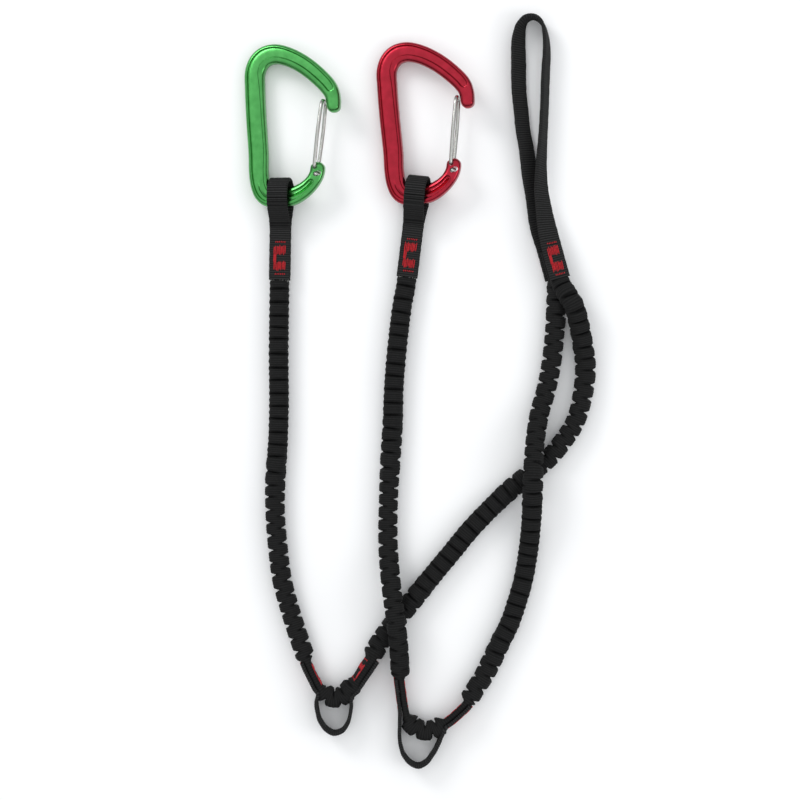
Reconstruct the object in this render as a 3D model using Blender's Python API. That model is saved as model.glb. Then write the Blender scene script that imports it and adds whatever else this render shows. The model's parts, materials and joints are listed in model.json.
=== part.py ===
"""Twin elasticated tool leash, lying on a table.

Two gathered webbing arms with elastic inside run from one long tie-in loop to two
wire-gate carabiners.  Each arm is sewn to a short clip loop at its middle.  Metres,
+Z up, origin under the middle of the hardware and webbing, on the table.
"""
import math

import bpy
import bmesh
import numpy as np
from mathutils import Matrix, Vector

for old in list(bpy.data.objects):
    bpy.data.objects.remove(old, do_unlink=True)

# Driving dimensions, in metres and degrees ---------------------------------------------
GAP = 0.0003                # air between touching pieces
TAPE_WIDTH = 0.0105         # flat webbing of the slings and loops
TAPE_THICK = 0.0018
SLEEVE_DIAMETER = 0.0092    # gathered webbing tube of the arms
SLEEVE_WALL = 0.0005
SEWN_SLEEVE_WIDTH = 0.0088  # the same tube pressed flat under stitching
SLEEVE_SIDES = 10
ARM_RINGS = 78              # rings along each arm
ARM_CROWDING = 2.4          # how much closer the rings stand where the arm is sewn
PRESS_PAST = 0.0045         # how far past its stitching a sleeve stays pressed
PRESS_EASE = 0.0065         # length over which a pressed sleeve opens out again
ELASTIC_WIDTH = 0.0056      # flat rubber core inside the sleeve
ELASTIC_THICK = 0.0012
ELASTIC_CLEARANCE = 0.0003

CARABINER_HEIGHT = 0.0717   # centreline of the basket to centreline of the crown
CARABINER_WIDTH = 0.0406    # centreline of the spine to centreline of the nose
BAR_WIDTH = 0.0098          # forged bar across the basket, spine and crown
BAR_DEPTH = 0.0070
BAR_CORNER = 0.0028
NOSE_WIDTH = 0.0068         # across the nose, where the gate closes on it
TONGUE_DEPTH = 0.0062
CHANNEL_DEPTH = 0.0014      # forged groove in each face of the bar
WIRE_DIAMETER = 0.0018
WIRE_HOLE_SPACING = 0.0035
WIRE_HOLE_STEP = 0.0004     # how far the lower hole stands nearer the gate side
NOSE_EASE = 0.0005          # the closed gate's stop on the nose stands in by this much
GATE_BOW = 0.0010           # how far each wire leg bulges sideways at mid length
GATE_TRAVEL = 28.0

CARABINER_ROLL = 12.0       # gate side lifted off the table
SLING_LENGTH = 0.0410       # middle of the bar to the cut ends of the sling
SLING_EYE_REACH = 0.0020    # how far the eye runs past the bar before it turns
SLING_CLEARANCE = 0.0005    # between the eye and the widest part of the bar in it
SLING_SIDE_CLEARANCE = 0.0010 # between the sling's edge and the foot of the spine
SLING_SEWN_LENGTH = 0.0235
SLING_ROLL_KEPT = 0.25      # share of the free sling that keeps the carabiner's roll
BARTACK_THICK = 0.0005
BARTACK_WIDTH = 0.0064
BARTACK_BLOCK = 0.0046
BARTACK_LINK = 0.0034
BARTACK_STEP = 0.00005      # length over which a block narrows to the link
SLING_BARTACK_START = 0.0045    # cut end of the tape to the first block
CLIP_BARTACK_START = 0.0012
TIE_IN_BARTACK_START = 0.0038

TABLE_LIFT = 0.0002         # softest rest of webbing above the table
CROWN_LIFT = 0.0003         # air under the crown

SEWN_SLEEVE_THICK = ELASTIC_THICK + 2 * (ELASTIC_CLEARANCE + SLEEVE_WALL)
SEWN_STACK_THICK = SEWN_SLEEVE_THICK + 2 * (GAP + TAPE_THICK)
SEWN_HEIGHT = SEWN_STACK_THICK / 2 + GAP + BARTACK_THICK + TABLE_LIFT
WIRE_RADIUS = WIRE_DIAMETER / 2


# Materials -----------------------------------------------------------------------------
def finish(name, color, roughness, metallic):
    """Plain Principled material with the colour given as linear red, green, blue."""
    material = bpy.data.materials.new(name)
    material.use_nodes = True
    shader = material.node_tree.nodes["Principled BSDF"]
    shader.inputs["Base Color"].default_value = (*color, 1.0)
    shader.inputs["Roughness"].default_value = roughness
    shader.inputs["Metallic"].default_value = metallic
    material.diffuse_color = (*color, 1.0)
    return material


GREEN_ALUMINIUM = finish("green_anodised_aluminium", (0.10, 0.36, 0.10), 0.28, 1.0)
RED_ALUMINIUM = finish("red_anodised_aluminium", (0.42, 0.02, 0.04), 0.28, 1.0)
STAINLESS = finish("stainless_wire", (0.62, 0.62, 0.58), 0.3, 1.0)
WEBBING = finish("black_nylon_webbing", (0.012, 0.012, 0.012), 0.85, 0.0)
ELASTIC = finish("black_rubber_elastic", (0.02, 0.02, 0.02), 0.7, 0.0)
THREAD = finish("red_polyester_thread", (0.55, 0.02, 0.03), 0.6, 0.0)


# Shape tools ---------------------------------------------------------------------------
def unit(rows):
    """Rows of vectors, each brought to length one."""
    return rows / np.linalg.norm(rows, axis=1, keepdims=True)


def smooth_step(x):
    """0 below zero, 1 above one, and an S-shaped rise between."""
    x = np.clip(x, 0.0, 1.0)
    return x * x * (3 - 2 * x)


def spline(points, count, spacing=None):
    """A centripetal Catmull-Rom curve through the points, read at even arc lengths."""
    points = np.asarray(points, float)
    ends = [2 * points[0] - points[1], 2 * points[-1] - points[-2]]
    p = np.vstack([ends[0], points, ends[1]])
    fine = []
    for a, b, c, d in zip(p[:-3], p[1:-2], p[2:-1], p[3:]):
        t0 = 0.0
        t1 = t0 + np.linalg.norm((b - a)[:3]) ** 0.5
        t2 = t1 + np.linalg.norm((c - b)[:3]) ** 0.5
        t3 = t2 + np.linalg.norm((d - c)[:3]) ** 0.5
        t = np.linspace(t1, t2, 16, endpoint=False)[:, None]
        ab = (t1 - t) / (t1 - t0) * a + (t - t0) / (t1 - t0) * b
        bc = (t2 - t) / (t2 - t1) * b + (t - t1) / (t2 - t1) * c
        cd = (t3 - t) / (t3 - t2) * c + (t - t2) / (t3 - t2) * d
        abc = (t2 - t) / (t2 - t0) * ab + (t - t0) / (t2 - t0) * bc
        bcd = (t3 - t) / (t3 - t1) * bc + (t - t1) / (t3 - t1) * cd
        fine.append((t2 - t) / (t2 - t1) * abc + (t - t1) / (t2 - t1) * bcd)
    fine = np.vstack(fine + [points[-1:]])
    run = lengths(fine)
    if spacing:
        count = int(round(run[-1] / spacing)) + 1
    at = np.linspace(0, run[-1], count)
    return np.column_stack([np.interp(at, run, fine[:, k]) for k in range(fine.shape[1])])


def lengths(points):
    """Arc length from the first point to each point, over its first three columns."""
    steps = np.linalg.norm(np.diff(points[:, :3], axis=0), axis=1)
    return np.concatenate([[0.0], np.cumsum(steps)])


def strip(centres, wides):
    """Frames along a path: tangent, width direction and normal at each centre."""
    tangents = unit(np.gradient(centres, lengths(centres), axis=0))
    wides = wides - tangents * np.sum(wides * tangents, axis=1, keepdims=True)
    wides = unit(wides)
    return {
        "run": lengths(centres),
        "centre": centres,
        "tangent": tangents,
        "wide": wides,
        "normal": np.cross(wides, tangents),
    }


def rolled_strip(path, angles):
    """Frames whose normal turns from straight up towards the right of the path."""
    flat = np.gradient(path[:, :2], lengths(path), axis=0)
    flat = unit(flat)
    right = np.column_stack([flat[:, 1], -flat[:, 0], np.zeros(len(flat))])
    up = np.array([0.0, 0.0, 1.0])
    angles = np.radians(angles)[:, None]
    normal = np.cos(angles) * up + np.sin(angles) * right
    tangent = unit(np.gradient(path, lengths(path), axis=0))
    frames = strip(path, np.cross(tangent, normal))
    return frames


def frame_at(frames, run):
    """Centre, width direction and normal at one distance along a strip."""
    def read(key):
        rows = frames[key]
        return np.array([np.interp(run, frames["run"], rows[:, k]) for k in range(3)])
    return read("centre"), unit(read("wide")[None])[0], unit(read("normal")[None])[0]


def skin(name, rings, material, loop=False, smooth=True):
    """One closed mesh through rings of equal size, capped, or joined end to start."""
    mesh = bmesh.new()
    rows = [[mesh.verts.new(Vector(p)) for p in ring] for ring in rings]
    pairs = list(zip(rows, rows[1:]))
    if loop:
        pairs.append((rows[-1], rows[0]))
    for first, second in pairs:
        for k in range(len(first)):
            following = (k + 1) % len(first)
            mesh.faces.new((first[k], first[following], second[following], second[k]))
    if not loop:
        mesh.faces.new(rows[0][::-1])
        mesh.faces.new(rows[-1])
    bmesh.ops.recalc_face_normals(mesh, faces=mesh.faces)
    return add_object(name, mesh, material, smooth)


def add_object(name, mesh, material, smooth=True):
    """Turns a bmesh into a named object with one material."""
    data = bpy.data.meshes.new(name)
    mesh.to_mesh(data)
    mesh.free()
    if smooth:
        data.shade_smooth()
        data.set_sharp_from_angle(angle=math.radians(40))
    data.materials.append(material)
    thing = bpy.data.objects.new(name, data)
    bpy.context.collection.objects.link(thing)
    return thing


def rectangle(width, thick):
    """Corners of a flat section, as offsets across and outwards."""
    return [(-width / 2, -thick / 2), (width / 2, -thick / 2),
            (width / 2, thick / 2), (-width / 2, thick / 2)]


def oval(width, thick, flat):
    """A round section whose corners fill out as stitching presses it flat."""
    turn = (np.arange(SLEEVE_SIDES) + 0.5) * 2 * math.pi / SLEEVE_SIDES
    c, s = np.cos(turn), np.sin(turn)
    power = 1 - 0.28 * flat
    return list(zip(width / 2 * np.sign(c) * np.abs(c) ** power,
                    thick / 2 * np.sign(s) * np.abs(s) ** power))


def section_rings(frames, sections):
    """Rings of points: each section's offsets laid across its own frame."""
    rings = []
    for centre, wide, normal, section in zip(
            frames["centre"], frames["wide"], frames["normal"], sections):
        rings.append([centre + a * wide + b * normal for a, b in section])
    return rings


def tape(name, frames, material=WEBBING, width=None, thick=None):
    """A flat tape along a strip of frames."""
    section = rectangle(width or TAPE_WIDTH, thick or TAPE_THICK)
    rings = section_rings(frames, [section] * len(frames["centre"]))
    return skin(name, rings, material)


def bartack(name, frames, start, side, face=TAPE_THICK / 2):
    """Two stitched blocks and the link beside them, on one face of a sewn strip.

    side is +1 on the face that the strip's normal points out of, and -1 on the other.
    face is how far that face lies from the middle of the strip.
    """
    block_end = start + BARTACK_BLOCK
    second = block_end + BARTACK_LINK
    step = BARTACK_STEP
    half = BARTACK_WIDTH / 2
    link = half / 2
    stations = [(start + BARTACK_BLOCK * k / 3, half) for k in range(4)]
    stations += [(block_end + step, -link), ((block_end + second) / 2, -link),
                 (second - step, -link)]
    stations += [(second + BARTACK_BLOCK * k / 3, half) for k in range(4)]
    low = face + GAP
    rings = []
    for run, edge in stations:
        centre, wide, normal = frame_at(frames, run)
        section = [(-half, low), (edge, low), (edge, low + BARTACK_THICK),
                   (-half, low + BARTACK_THICK)]
        rings.append([centre + a * wide + side * b * normal for a, b in section])
    return skin(name, rings, THREAD, smooth=False)


# Carabiner -----------------------------------------------------------------------------
# Centreline of the bar.  Origin: middle of the basket bar inside the sling.
# From the nose over the crown and down the spine, and from the basket's gate side up to
# the tongue: shares of the carabiner's width and height, and of the bar's width there.
NOSE = (0.672, 0.575)
UPPER_LINE = [
    (*NOSE, 0.56), (0.672, 0.62, NOSE_WIDTH / BAR_WIDTH), (0.660, 0.69, 0.76),
    (0.613, 0.748, 0.87), (0.473, 0.834, 0.92), (0.293, 0.916, 0.94), (0.100, 0.975, 0.96),
    (-0.064, 0.998, 1.0), (-0.190, 0.984, 1.04), (-0.273, 0.945, 1.05),
    (-0.323, 0.878, 1.04), (-0.325, 0.76, 1.03), (-0.308, 0.55, 1.03), (-0.278, 0.30, 1.02),
]
TONGUE_LINE = [
    (0.278, 0.036, 0.84), (0.392, 0.090, 0.74), (0.456, 0.148, 0.73), (0.476, 0.202, 0.71),
    (0.482, 0.237, 0.52),
]
# Round the foot of the spine and under the sling: distances from the spine's foot or
# from the sling's edge, so that the bar stays straight as far as the tape is wide.
SPINE_FOOT = -(TAPE_WIDTH / 2 + SLING_SIDE_CLEARANCE + BAR_WIDTH / 2)
SLING_EDGE = TAPE_WIDTH / 2 + SLING_SIDE_CLEARANCE
FOOT_LINE = [
    (SPINE_FOOT, 0.0125, 1.0), (SPINE_FOOT + 0.0009, 0.0062, 0.99),
    (SPINE_FOOT + 0.0026, 0.0022, 0.99), (-SLING_EDGE, 0.0003, 0.99),
    (-SLING_EDGE / 2, 0.0, 0.99), (SLING_EDGE / 2, 0.0, 0.97), (SLING_EDGE, 0.0003, 0.94),
]
BAR_RISE = 0.0004           # how far the basket curves up inside the sling's width
SLING_EYE_RADIUS = (math.hypot(BAR_WIDTH / 2 - BAR_CORNER, BAR_DEPTH / 2 - BAR_CORNER)
                    + BAR_CORNER + BAR_RISE + SLING_CLEARANCE)
PIVOT = (0.451 * CARABINER_WIDTH, 0.1985 * CARABINER_HEIGHT)
GATE_TIP = (NOSE[0] * CARABINER_WIDTH - NOSE_WIDTH / 2 - GAP - WIRE_RADIUS - NOSE_EASE,
            0.658 * CARABINER_HEIGHT)
EYE_OUTER = SLING_EYE_RADIUS + TAPE_THICK
BAR_HEIGHT = (EYE_OUTER * math.cos(math.radians(CARABINER_ROLL))
              + TAPE_WIDTH / 2 * math.sin(math.radians(CARABINER_ROLL)) + TABLE_LIFT)
# The crown is lowered until the rolled spine, the lowest part beside it, nearly rests.
SPINE_DROP = (math.sin(math.radians(CARABINER_ROLL)) * (0.31 * CARABINER_WIDTH + 0.3 * BAR_WIDTH)
              + math.cos(math.radians(CARABINER_ROLL)) * BAR_DEPTH / 2)
CARABINER_PITCH = math.degrees(math.asin((BAR_HEIGHT - TABLE_LIFT - SPINE_DROP - CROWN_LIFT)
                                         / CARABINER_HEIGHT))


def bar_section(half_width, half_depth, groove):
    """Half-round flanges with a shallow groove between them on both faces."""
    top = [(0.98, 0.30), (0.90, 0.72), (0.68, 1.0), (0.50, 0.97), (0.40, 1.0 - groove),
           (-0.40, 1.0 - groove), (-0.50, 0.97), (-0.68, 1.0), (-0.90, 0.72), (-0.98, 0.30)]
    bottom = [(a, -b) for a, b in reversed(top)]
    return [(a * half_width, b * half_depth) for a, b in top + bottom]


def carabiner_body(name, material):
    """The forged bar, swept along its centreline, with the tongue's two cross holes."""
    upper, tongue = ([(a * CARABINER_WIDTH, b * CARABINER_HEIGHT, 0.0, share)
                      for a, b, share in rows] for rows in (UPPER_LINE, TONGUE_LINE))
    foot = [(u, v, 0.0, share) for u, v, share in FOOT_LINE]
    line = spline(upper + foot + tongue, 46)
    path = line[:, :3]
    tangents = unit(np.gradient(path, lengths(path), axis=0))
    across = np.column_stack([tangents[:, 1], -tangents[:, 0], np.zeros(len(path))])
    run = lengths(path) / lengths(path)[-1]
    depth = BAR_DEPTH + (TONGUE_DEPTH - BAR_DEPTH) * smooth_step((run - 0.86) / 0.06)
    groove = 2 * CHANNEL_DEPTH / BAR_DEPTH * smooth_step((run - 0.07) / 0.05)
    groove = groove * smooth_step((0.90 - run) / 0.04)
    blunt = np.ones(len(path))
    blunt[[0, -1]] = 0.72
    rings = []
    for k, centre in enumerate(path):
        section = bar_section(line[k, 3] * BAR_WIDTH / 2, depth[k] * blunt[k] / 2, groove[k])
        rings.append([centre + a * across[k] + Vector((0, 0, b)) for a, b in section])
    body = skin(name, rings, material)
    low = (PIVOT[0] + WIRE_HOLE_STEP, PIVOT[1] - WIRE_HOLE_SPACING)
    for label, (u, v), slot in (("upper", PIVOT, 0.0), ("lower", low, GATE_TRAVEL)):
        hole = slot_cutter(name + "_" + label + "_hole", u, v, slot)
        cut = body.modifiers.new(label + "_hole", "BOOLEAN")
        cut.operation = "DIFFERENCE"
        cut.solver = "EXACT"
        cut.object = hole
        hole.parent = body
    return body


def slot_cutter(name, u, v, travel):
    """A round-ended cutter whose middle follows the wire end as the gate turns."""
    radius = WIRE_RADIUS + GAP
    middle = Vector((PIVOT[0], PIVOT[1], 0))
    start = Vector((u, v, 0)) - middle
    turns = [math.radians(travel) * k / 6 for k in range(7)] if travel else [0.0]
    mesh = bmesh.new()
    outline = []
    for turn in turns:
        outline.append(middle + Matrix.Rotation(turn, 3, "Z") @ start)
    points = []
    if len(outline) == 1:
        points = [outline[0] + Vector((math.cos(a), math.sin(a), 0)) * radius
                  for a in np.linspace(0, 2 * math.pi, 12, endpoint=False)]
    else:
        inward = [(middle - p).normalized() for p in outline]
        start_angle = math.atan2(-inward[0].y, -inward[0].x)
        end_angle = math.atan2(-inward[-1].y, -inward[-1].x)
        points += [outline[-1] + Vector((math.cos(end_angle + a), math.sin(end_angle + a), 0))
                   * radius for a in np.linspace(0, math.pi, 7)]
        points += [p + n * radius for p, n in list(zip(outline, inward))[-2:0:-1]]
        points += [outline[0] + Vector((math.cos(start_angle + a),
                                        math.sin(start_angle + a), 0)) * radius
                   for a in np.linspace(math.pi, 2 * math.pi, 7)]
        points += [p - n * radius for p, n in list(zip(outline, inward))[1:-1]]
    base = mesh.faces.new([mesh.verts.new(p - Vector((0, 0, BAR_DEPTH))) for p in points])
    grown = bmesh.ops.extrude_face_region(mesh, geom=[base])
    tops = [g for g in grown["geom"] if isinstance(g, bmesh.types.BMVert)]
    bmesh.ops.translate(mesh, verts=tops, vec=(0, 0, 2 * BAR_DEPTH))
    bmesh.ops.recalc_face_normals(mesh, faces=mesh.faces)
    cutter = add_object(name, mesh, STAINLESS, smooth=False)
    cutter.hide_render = True
    cutter.display_type = "WIRE"
    return cutter


def wire_gate(name):
    """One bent wire: in through the upper hole, round the nose and back to the lower."""
    leg = TONGUE_DEPTH / 2 + GAP + WIRE_RADIUS
    reach = Vector((GATE_TIP[0] - PIVOT[0], GATE_TIP[1] - PIVOT[1]))
    along = reach.normalized()
    bend = 1.1 * WIRE_DIAMETER
    low = Vector((WIRE_HOLE_STEP, -WIRE_HOLE_SPACING))

    def at(share, w):
        return (reach.x * share, reach.y * share, w)

    bow = leg + GATE_BOW
    corner = bend / reach.length
    points = [(0, 0, TONGUE_DEPTH * 0.2), (0, 0, leg - 0.6 * bend),
              (along.x * 0.2 * bend, along.y * 0.2 * bend, leg - 0.17 * bend),
              at(0.9 * corner, leg), at(0.22, leg + 0.45 * GATE_BOW), at(0.5, bow),
              at(0.78, leg + 0.45 * GATE_BOW), at(1 - corner, leg - 0.12 * bend),
              at(1 - 0.25 * corner, leg - 0.75 * bend), at(1, leg - 1.5 * bend),
              at(1, -leg + 1.5 * bend), at(1 - 0.25 * corner, -leg + 0.75 * bend),
              at(1 - corner, -leg + 0.12 * bend), at(0.78, -leg - 0.45 * GATE_BOW),
              at(0.5, -bow), at(0.22, -leg - 0.45 * GATE_BOW), at(0, -leg),
              (low.x, low.y + 0.9 * bend, -leg), (low.x, low.y + 0.2 * bend, -leg + 0.17 * bend),
              (low.x, low.y, -leg + 0.6 * bend), (low.x, low.y, TONGUE_DEPTH / 2)]
    curve = bpy.data.curves.new(name, "CURVE")
    curve.dimensions = "3D"
    curve.bevel_depth = WIRE_RADIUS
    curve.bevel_resolution = 2
    curve.use_fill_caps = True
    curve.materials.append(STAINLESS)
    run = curve.splines.new("POLY")
    run.points.add(len(points) - 1)
    for point, place in zip(run.points, points):
        point.co = (*place, 1.0)
    gate = bpy.data.objects.new(name, curve)
    bpy.context.collection.objects.link(gate)
    return gate


def carabiner(colour, bar_centre, heading, material):
    """Body and gate on two empties that stand on the two joint axes."""
    swing = bpy.data.objects.new(colour + "_swing_axis", None)
    bpy.context.collection.objects.link(swing)
    swing.matrix_world = (Matrix.Translation(bar_centre)
                          @ Matrix.Rotation(math.radians(heading), 4, "Z")
                          @ Matrix.Rotation(math.radians(-CARABINER_PITCH), 4, "X")
                          @ Matrix.Rotation(math.radians(-CARABINER_ROLL), 4, "Y"))
    body = carabiner_body(colour + "_carabiner_body", material)
    body.parent = swing
    pivot = bpy.data.objects.new(colour + "_gate_axis", None)
    bpy.context.collection.objects.link(pivot)
    pivot.parent = swing
    pivot.location = (*PIVOT, 0)
    gate = wire_gate(colour + "_wire_gate")
    gate.parent = pivot


# Carabiner sling -----------------------------------------------------------------------
def sling_line(bar_centre, sewn_start, sewn_end):
    """Middle line of the sling, from the far side of the bar to its cut ends."""
    bar, start, end = (np.array(p[:2]) for p in (bar_centre, sewn_start, sewn_end))
    along = unit((start - bar)[None])[0]
    past = bar - along * (SLING_EYE_REACH + EYE_OUTER)
    flat = spline([past, bar, (bar + start) / 2, start, (start + end) / 2, end], 60)
    run = lengths(flat)
    bar_run = run[np.argmin(np.linalg.norm(flat - bar, axis=1))]
    return flat, run - bar_run


def carabiner_sling(name, bar_centre, sewn_start, sewn_end):
    """One tape that goes over the bar, round and back under, its ends sewn together."""
    flat, run = sling_line(bar_centre, sewn_start, sewn_end)
    tangents = np.gradient(flat, run, axis=0)
    sewn_run = run[-1] - SLING_SEWN_LENGTH
    keep = np.linspace(SLING_CLEARANCE, run[-1], 17)
    spread = (EYE_OUTER + SLING_EYE_RADIUS) / 2
    closed = (SEWN_STACK_THICK - TAPE_THICK) / 2

    def place(at, offset):
        """A point at a distance down the sling and a height off its middle surface."""
        x, y = (np.interp(at, run, flat[:, k]) for k in range(2))
        blend = smooth_step((at / sewn_run - SLING_ROLL_KEPT) / (1 - SLING_ROLL_KEPT))
        roll = math.radians(CARABINER_ROLL) * (1 - blend)
        height = BAR_HEIGHT + (SEWN_HEIGHT - BAR_HEIGHT) * blend
        ahead = [np.interp(at, run, tangents[:, k]) for k in range(2)]
        ahead = unit(np.array([ahead]))[0]
        side = np.array([-ahead[1], ahead[0], 0.0])
        up = np.array([0, 0, 1.0])
        wide = math.cos(roll) * side + math.sin(roll) * up
        out = math.cos(roll) * up - math.sin(roll) * side
        return np.array([x, y, height]) + offset * out, wide

    def offset_at(at):
        return spread + (closed - spread) * smooth_step(at / (0.86 * sewn_run))

    centres = []
    wides = []
    for at in keep[::-1]:
        point, wide = place(at, offset_at(at))
        centres.append(point)
        wides.append(wide)
    for turn in np.linspace(0, math.pi, 11):
        at = -SLING_EYE_REACH - spread * math.sin(turn)
        point, wide = place(at, spread * math.cos(turn))
        centres.append(point)
        wides.append(wide)
    for at in keep:
        point, wide = place(at, -offset_at(at))
        centres.append(point)
        wides.append(wide)
    frames = strip(np.array(centres), np.array(wides))
    tape(name, frames)
    return frames


def sling_bartacks(colour, frames):
    """The stitching as it shows on the front and on the back of the sewn part."""
    start = SLING_BARTACK_START
    bartack(colour + "_sling_bartack_front", frames, start, side=1)
    back = frames["run"][-1] - start - 2 * BARTACK_BLOCK - BARTACK_LINK
    bartack(colour + "_sling_bartack_back", frames, back, side=1)


# Arms ----------------------------------------------------------------------------------
def arm(colour, route, turns, presses):
    """Gathered sleeve and elastic core along one route.

    route: hand placed points.  turns: how far the flat side of the sleeve has turned
    from facing up, in degrees, at numbered points of the route.  presses: stretches
    between two numbered points that stitching presses flat.
    """
    curve = spline(route, 1200)
    run = lengths(curve)
    marks = [run[np.argmin(np.linalg.norm(curve - p, axis=1))] for p in np.array(route)]
    crowding = np.ones(len(run))
    for first, last in presses:
        near = (run > marks[first] - PRESS_EASE) & (run < marks[last] + 2 * PRESS_EASE)
        crowding[near] = ARM_CROWDING
    stops = np.interp(np.linspace(0, 1, ARM_RINGS), np.cumsum(crowding) / crowding.sum(), run)
    stops[0] = 0.0
    path = np.column_stack([np.interp(stops, run, curve[:, k]) for k in range(3)])
    run = stops
    angles = np.interp(run, [marks[k] for k, angle in turns], [angle for k, angle in turns])
    frames = rolled_strip(path, angles)
    flat = np.zeros(len(run))
    for first, last in presses:
        rise = smooth_step((run - marks[first] + PRESS_PAST + PRESS_EASE) / PRESS_EASE)
        fall = smooth_step((marks[last] + PRESS_PAST + PRESS_EASE - run) / PRESS_EASE)
        flat = np.maximum(flat, rise * fall)
    outer = []
    inner = []
    for f in flat:
        wide = SLEEVE_DIAMETER + (SEWN_SLEEVE_WIDTH - SLEEVE_DIAMETER) * f
        thick = SLEEVE_DIAMETER + (SEWN_SLEEVE_THICK - SLEEVE_DIAMETER) * f
        outer.append(oval(wide, thick, f))
        inner.append(oval(wide - 2 * SLEEVE_WALL, thick - 2 * SLEEVE_WALL, f))
    rings = section_rings(frames, outer) + section_rings(frames, inner)[::-1]
    skin(colour + "_arm_sleeve", rings, WEBBING, loop=True)
    core = {key: rows[1:-1] for key, rows in frames.items()}
    tape(colour + "_elastic_core", core, ELASTIC, ELASTIC_WIDTH, ELASTIC_THICK)
    return frames


def points(rows):
    """Hand placed points, given in millimetres, as metres."""
    return [tuple(value / 1000 for value in row) for row in rows]


def lying(rows):
    """Points of an arm: two places in millimetres, and a height in sleeve diameters."""
    return [(x / 1000, y / 1000, z * SLEEVE_DIAMETER) for x, y, z in rows]


def clear_of_table(height, angle):
    """The height, or as much as a tape needs whose face is turned this far from up."""
    turn = math.radians(angle)
    reach = abs(math.sin(turn)) * TAPE_WIDTH + abs(math.cos(turn)) * TAPE_THICK
    return max(height, reach / 2 + TABLE_LIFT)


# Clip loops ----------------------------------------------------------------------------
def clip_loop(colour, arm_frames, marks, bow):
    """A tape on edge, sewn along the arm twice with a loop standing out between.

    marks: the four points where the two sewn stretches start and end.  bow: hand placed
    points of the free loop.
    """
    offset = SEWN_SLEEVE_THICK / 2 + GAP + TAPE_THICK / 2
    path = arm_frames["centre"]
    runs = [arm_frames["run"][np.argmin(np.linalg.norm(path - p, axis=1))] for p in marks]
    rows = []
    for first, last in ((runs[0], runs[1]), (runs[2], runs[3])):
        if rows:
            upright = TAPE_WIDTH / 2 + TABLE_LIFT
            rows += [(x, y, upright, 0.0, 0.0, -1.0) for x, y in bow]
        for run in np.linspace(first, last, 8):
            centre, wide, normal = frame_at(arm_frames, run)
            rows.append((*(centre + offset * normal), *wide))
    line = spline(rows, 56)
    frames = strip(line[:, :3], line[:, 3:])
    tape(colour + "_clip_loop", frames)
    sewn = 2 * BARTACK_BLOCK + BARTACK_LINK
    inner = SEWN_SLEEVE_THICK / 2
    for label, start, on_arm in (
            ("upper", CLIP_BARTACK_START, (runs[0] + runs[1] - sewn) / 2),
            ("lower", frames["run"][-1] - sewn - CLIP_BARTACK_START, (runs[2] + runs[3] - sewn) / 2)):
        name = colour + "_clip_bartack_" + label
        bartack(name + "_outer", frames, start, side=1)
        bartack(name + "_inner", arm_frames, on_arm, side=-1, face=inner)


# Tie-in loop ---------------------------------------------------------------------------
def tie_in_loop():
    """One long tape: flat over the arm ends, on edge round the top, flat under them."""
    rows = [(x / 1000, y / 1000, clear_of_table(z / 1000, angle), angle)
            for x, y, z, angle in TIE_IN_ROUTE]
    line = spline(rows, 80)
    frames = rolled_strip(line[:, :3], line[:, 3])
    tape("tie_in_loop", frames)
    start = TIE_IN_BARTACK_START
    back = frames["run"][-1] - start - 2 * BARTACK_BLOCK - BARTACK_LINK
    bartack("tie_in_bartack_front", frames, start, side=1)
    bartack("tie_in_bartack_back", frames, back, side=1)


# Places --------------------------------------------------------------------------------
# Where each sling's cut ends lie and which way it points, then the arm's route down to
# its clip loop and back up to the tie-in loop, in millimetres.
GREEN_SLING_END = (-0.0627, 0.0550)
GREEN_BEARING = 89.0
GREEN_HEADING = 0.0
GREEN_ARM = lying([
    (-62.8, 49, 0.522), (-63, 35, 0.522), (-63.2, 15, 0.522), (-63, -5, 0.522),
    (-63.5, -25, 0.522), (-64.8, -45, 0.522), (-64.8, -62.5, 0.522), (-63.5, -79, 0.522),
    (-61.5, -95, 0.522), (-57.5, -110, 0.522), (-53, -124, 0.565), (-49, -135, 0.63),
    (-45.3, -143, 0.63), (-41.6, -149.5, 0.63), (-37.6, -153, 0.63), (-33, -153.4, 0.652),
    (-28.8, -150.5, 0.696), (-25, -145.5, 0.739), (-20.8, -139, 0.739),
    (-17, -133.5, 0.674), (-13, -127, 0.543), (-7.5, -119, 0.522), (-0.5, -110.5, 0.522),
    (7.5, -100.5, 0.522), (16, -90, 0.522), (23.5, -81, 0.522), (32.5, -70, 0.522),
    (42, -60, 0.522), (52.5, -50, 0.522), (63, -41.5, 0.522), (71.5, -34.5, 0.522),
    (79, -25.5, 0.522), (85.2, -15.5, 0.522), (89, -1.5, 0.522), (90.2, 12, 0.565),
    (88.8, 22.5, 0.717), (86.3, 34, 1.033), (84, 41.5, 1.272), (81.2, 46.5, 1.239),
    (78.4, 51.2, 0.967),
]) + points([(76.6, 55.5, 8.1), (75.3, 60, 8.1), (72.7, 69.5, 8.1)])
RED_SLING_END = (0.0010, 0.0565)
RED_BEARING = 83.0
RED_HEADING = 2.0
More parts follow.
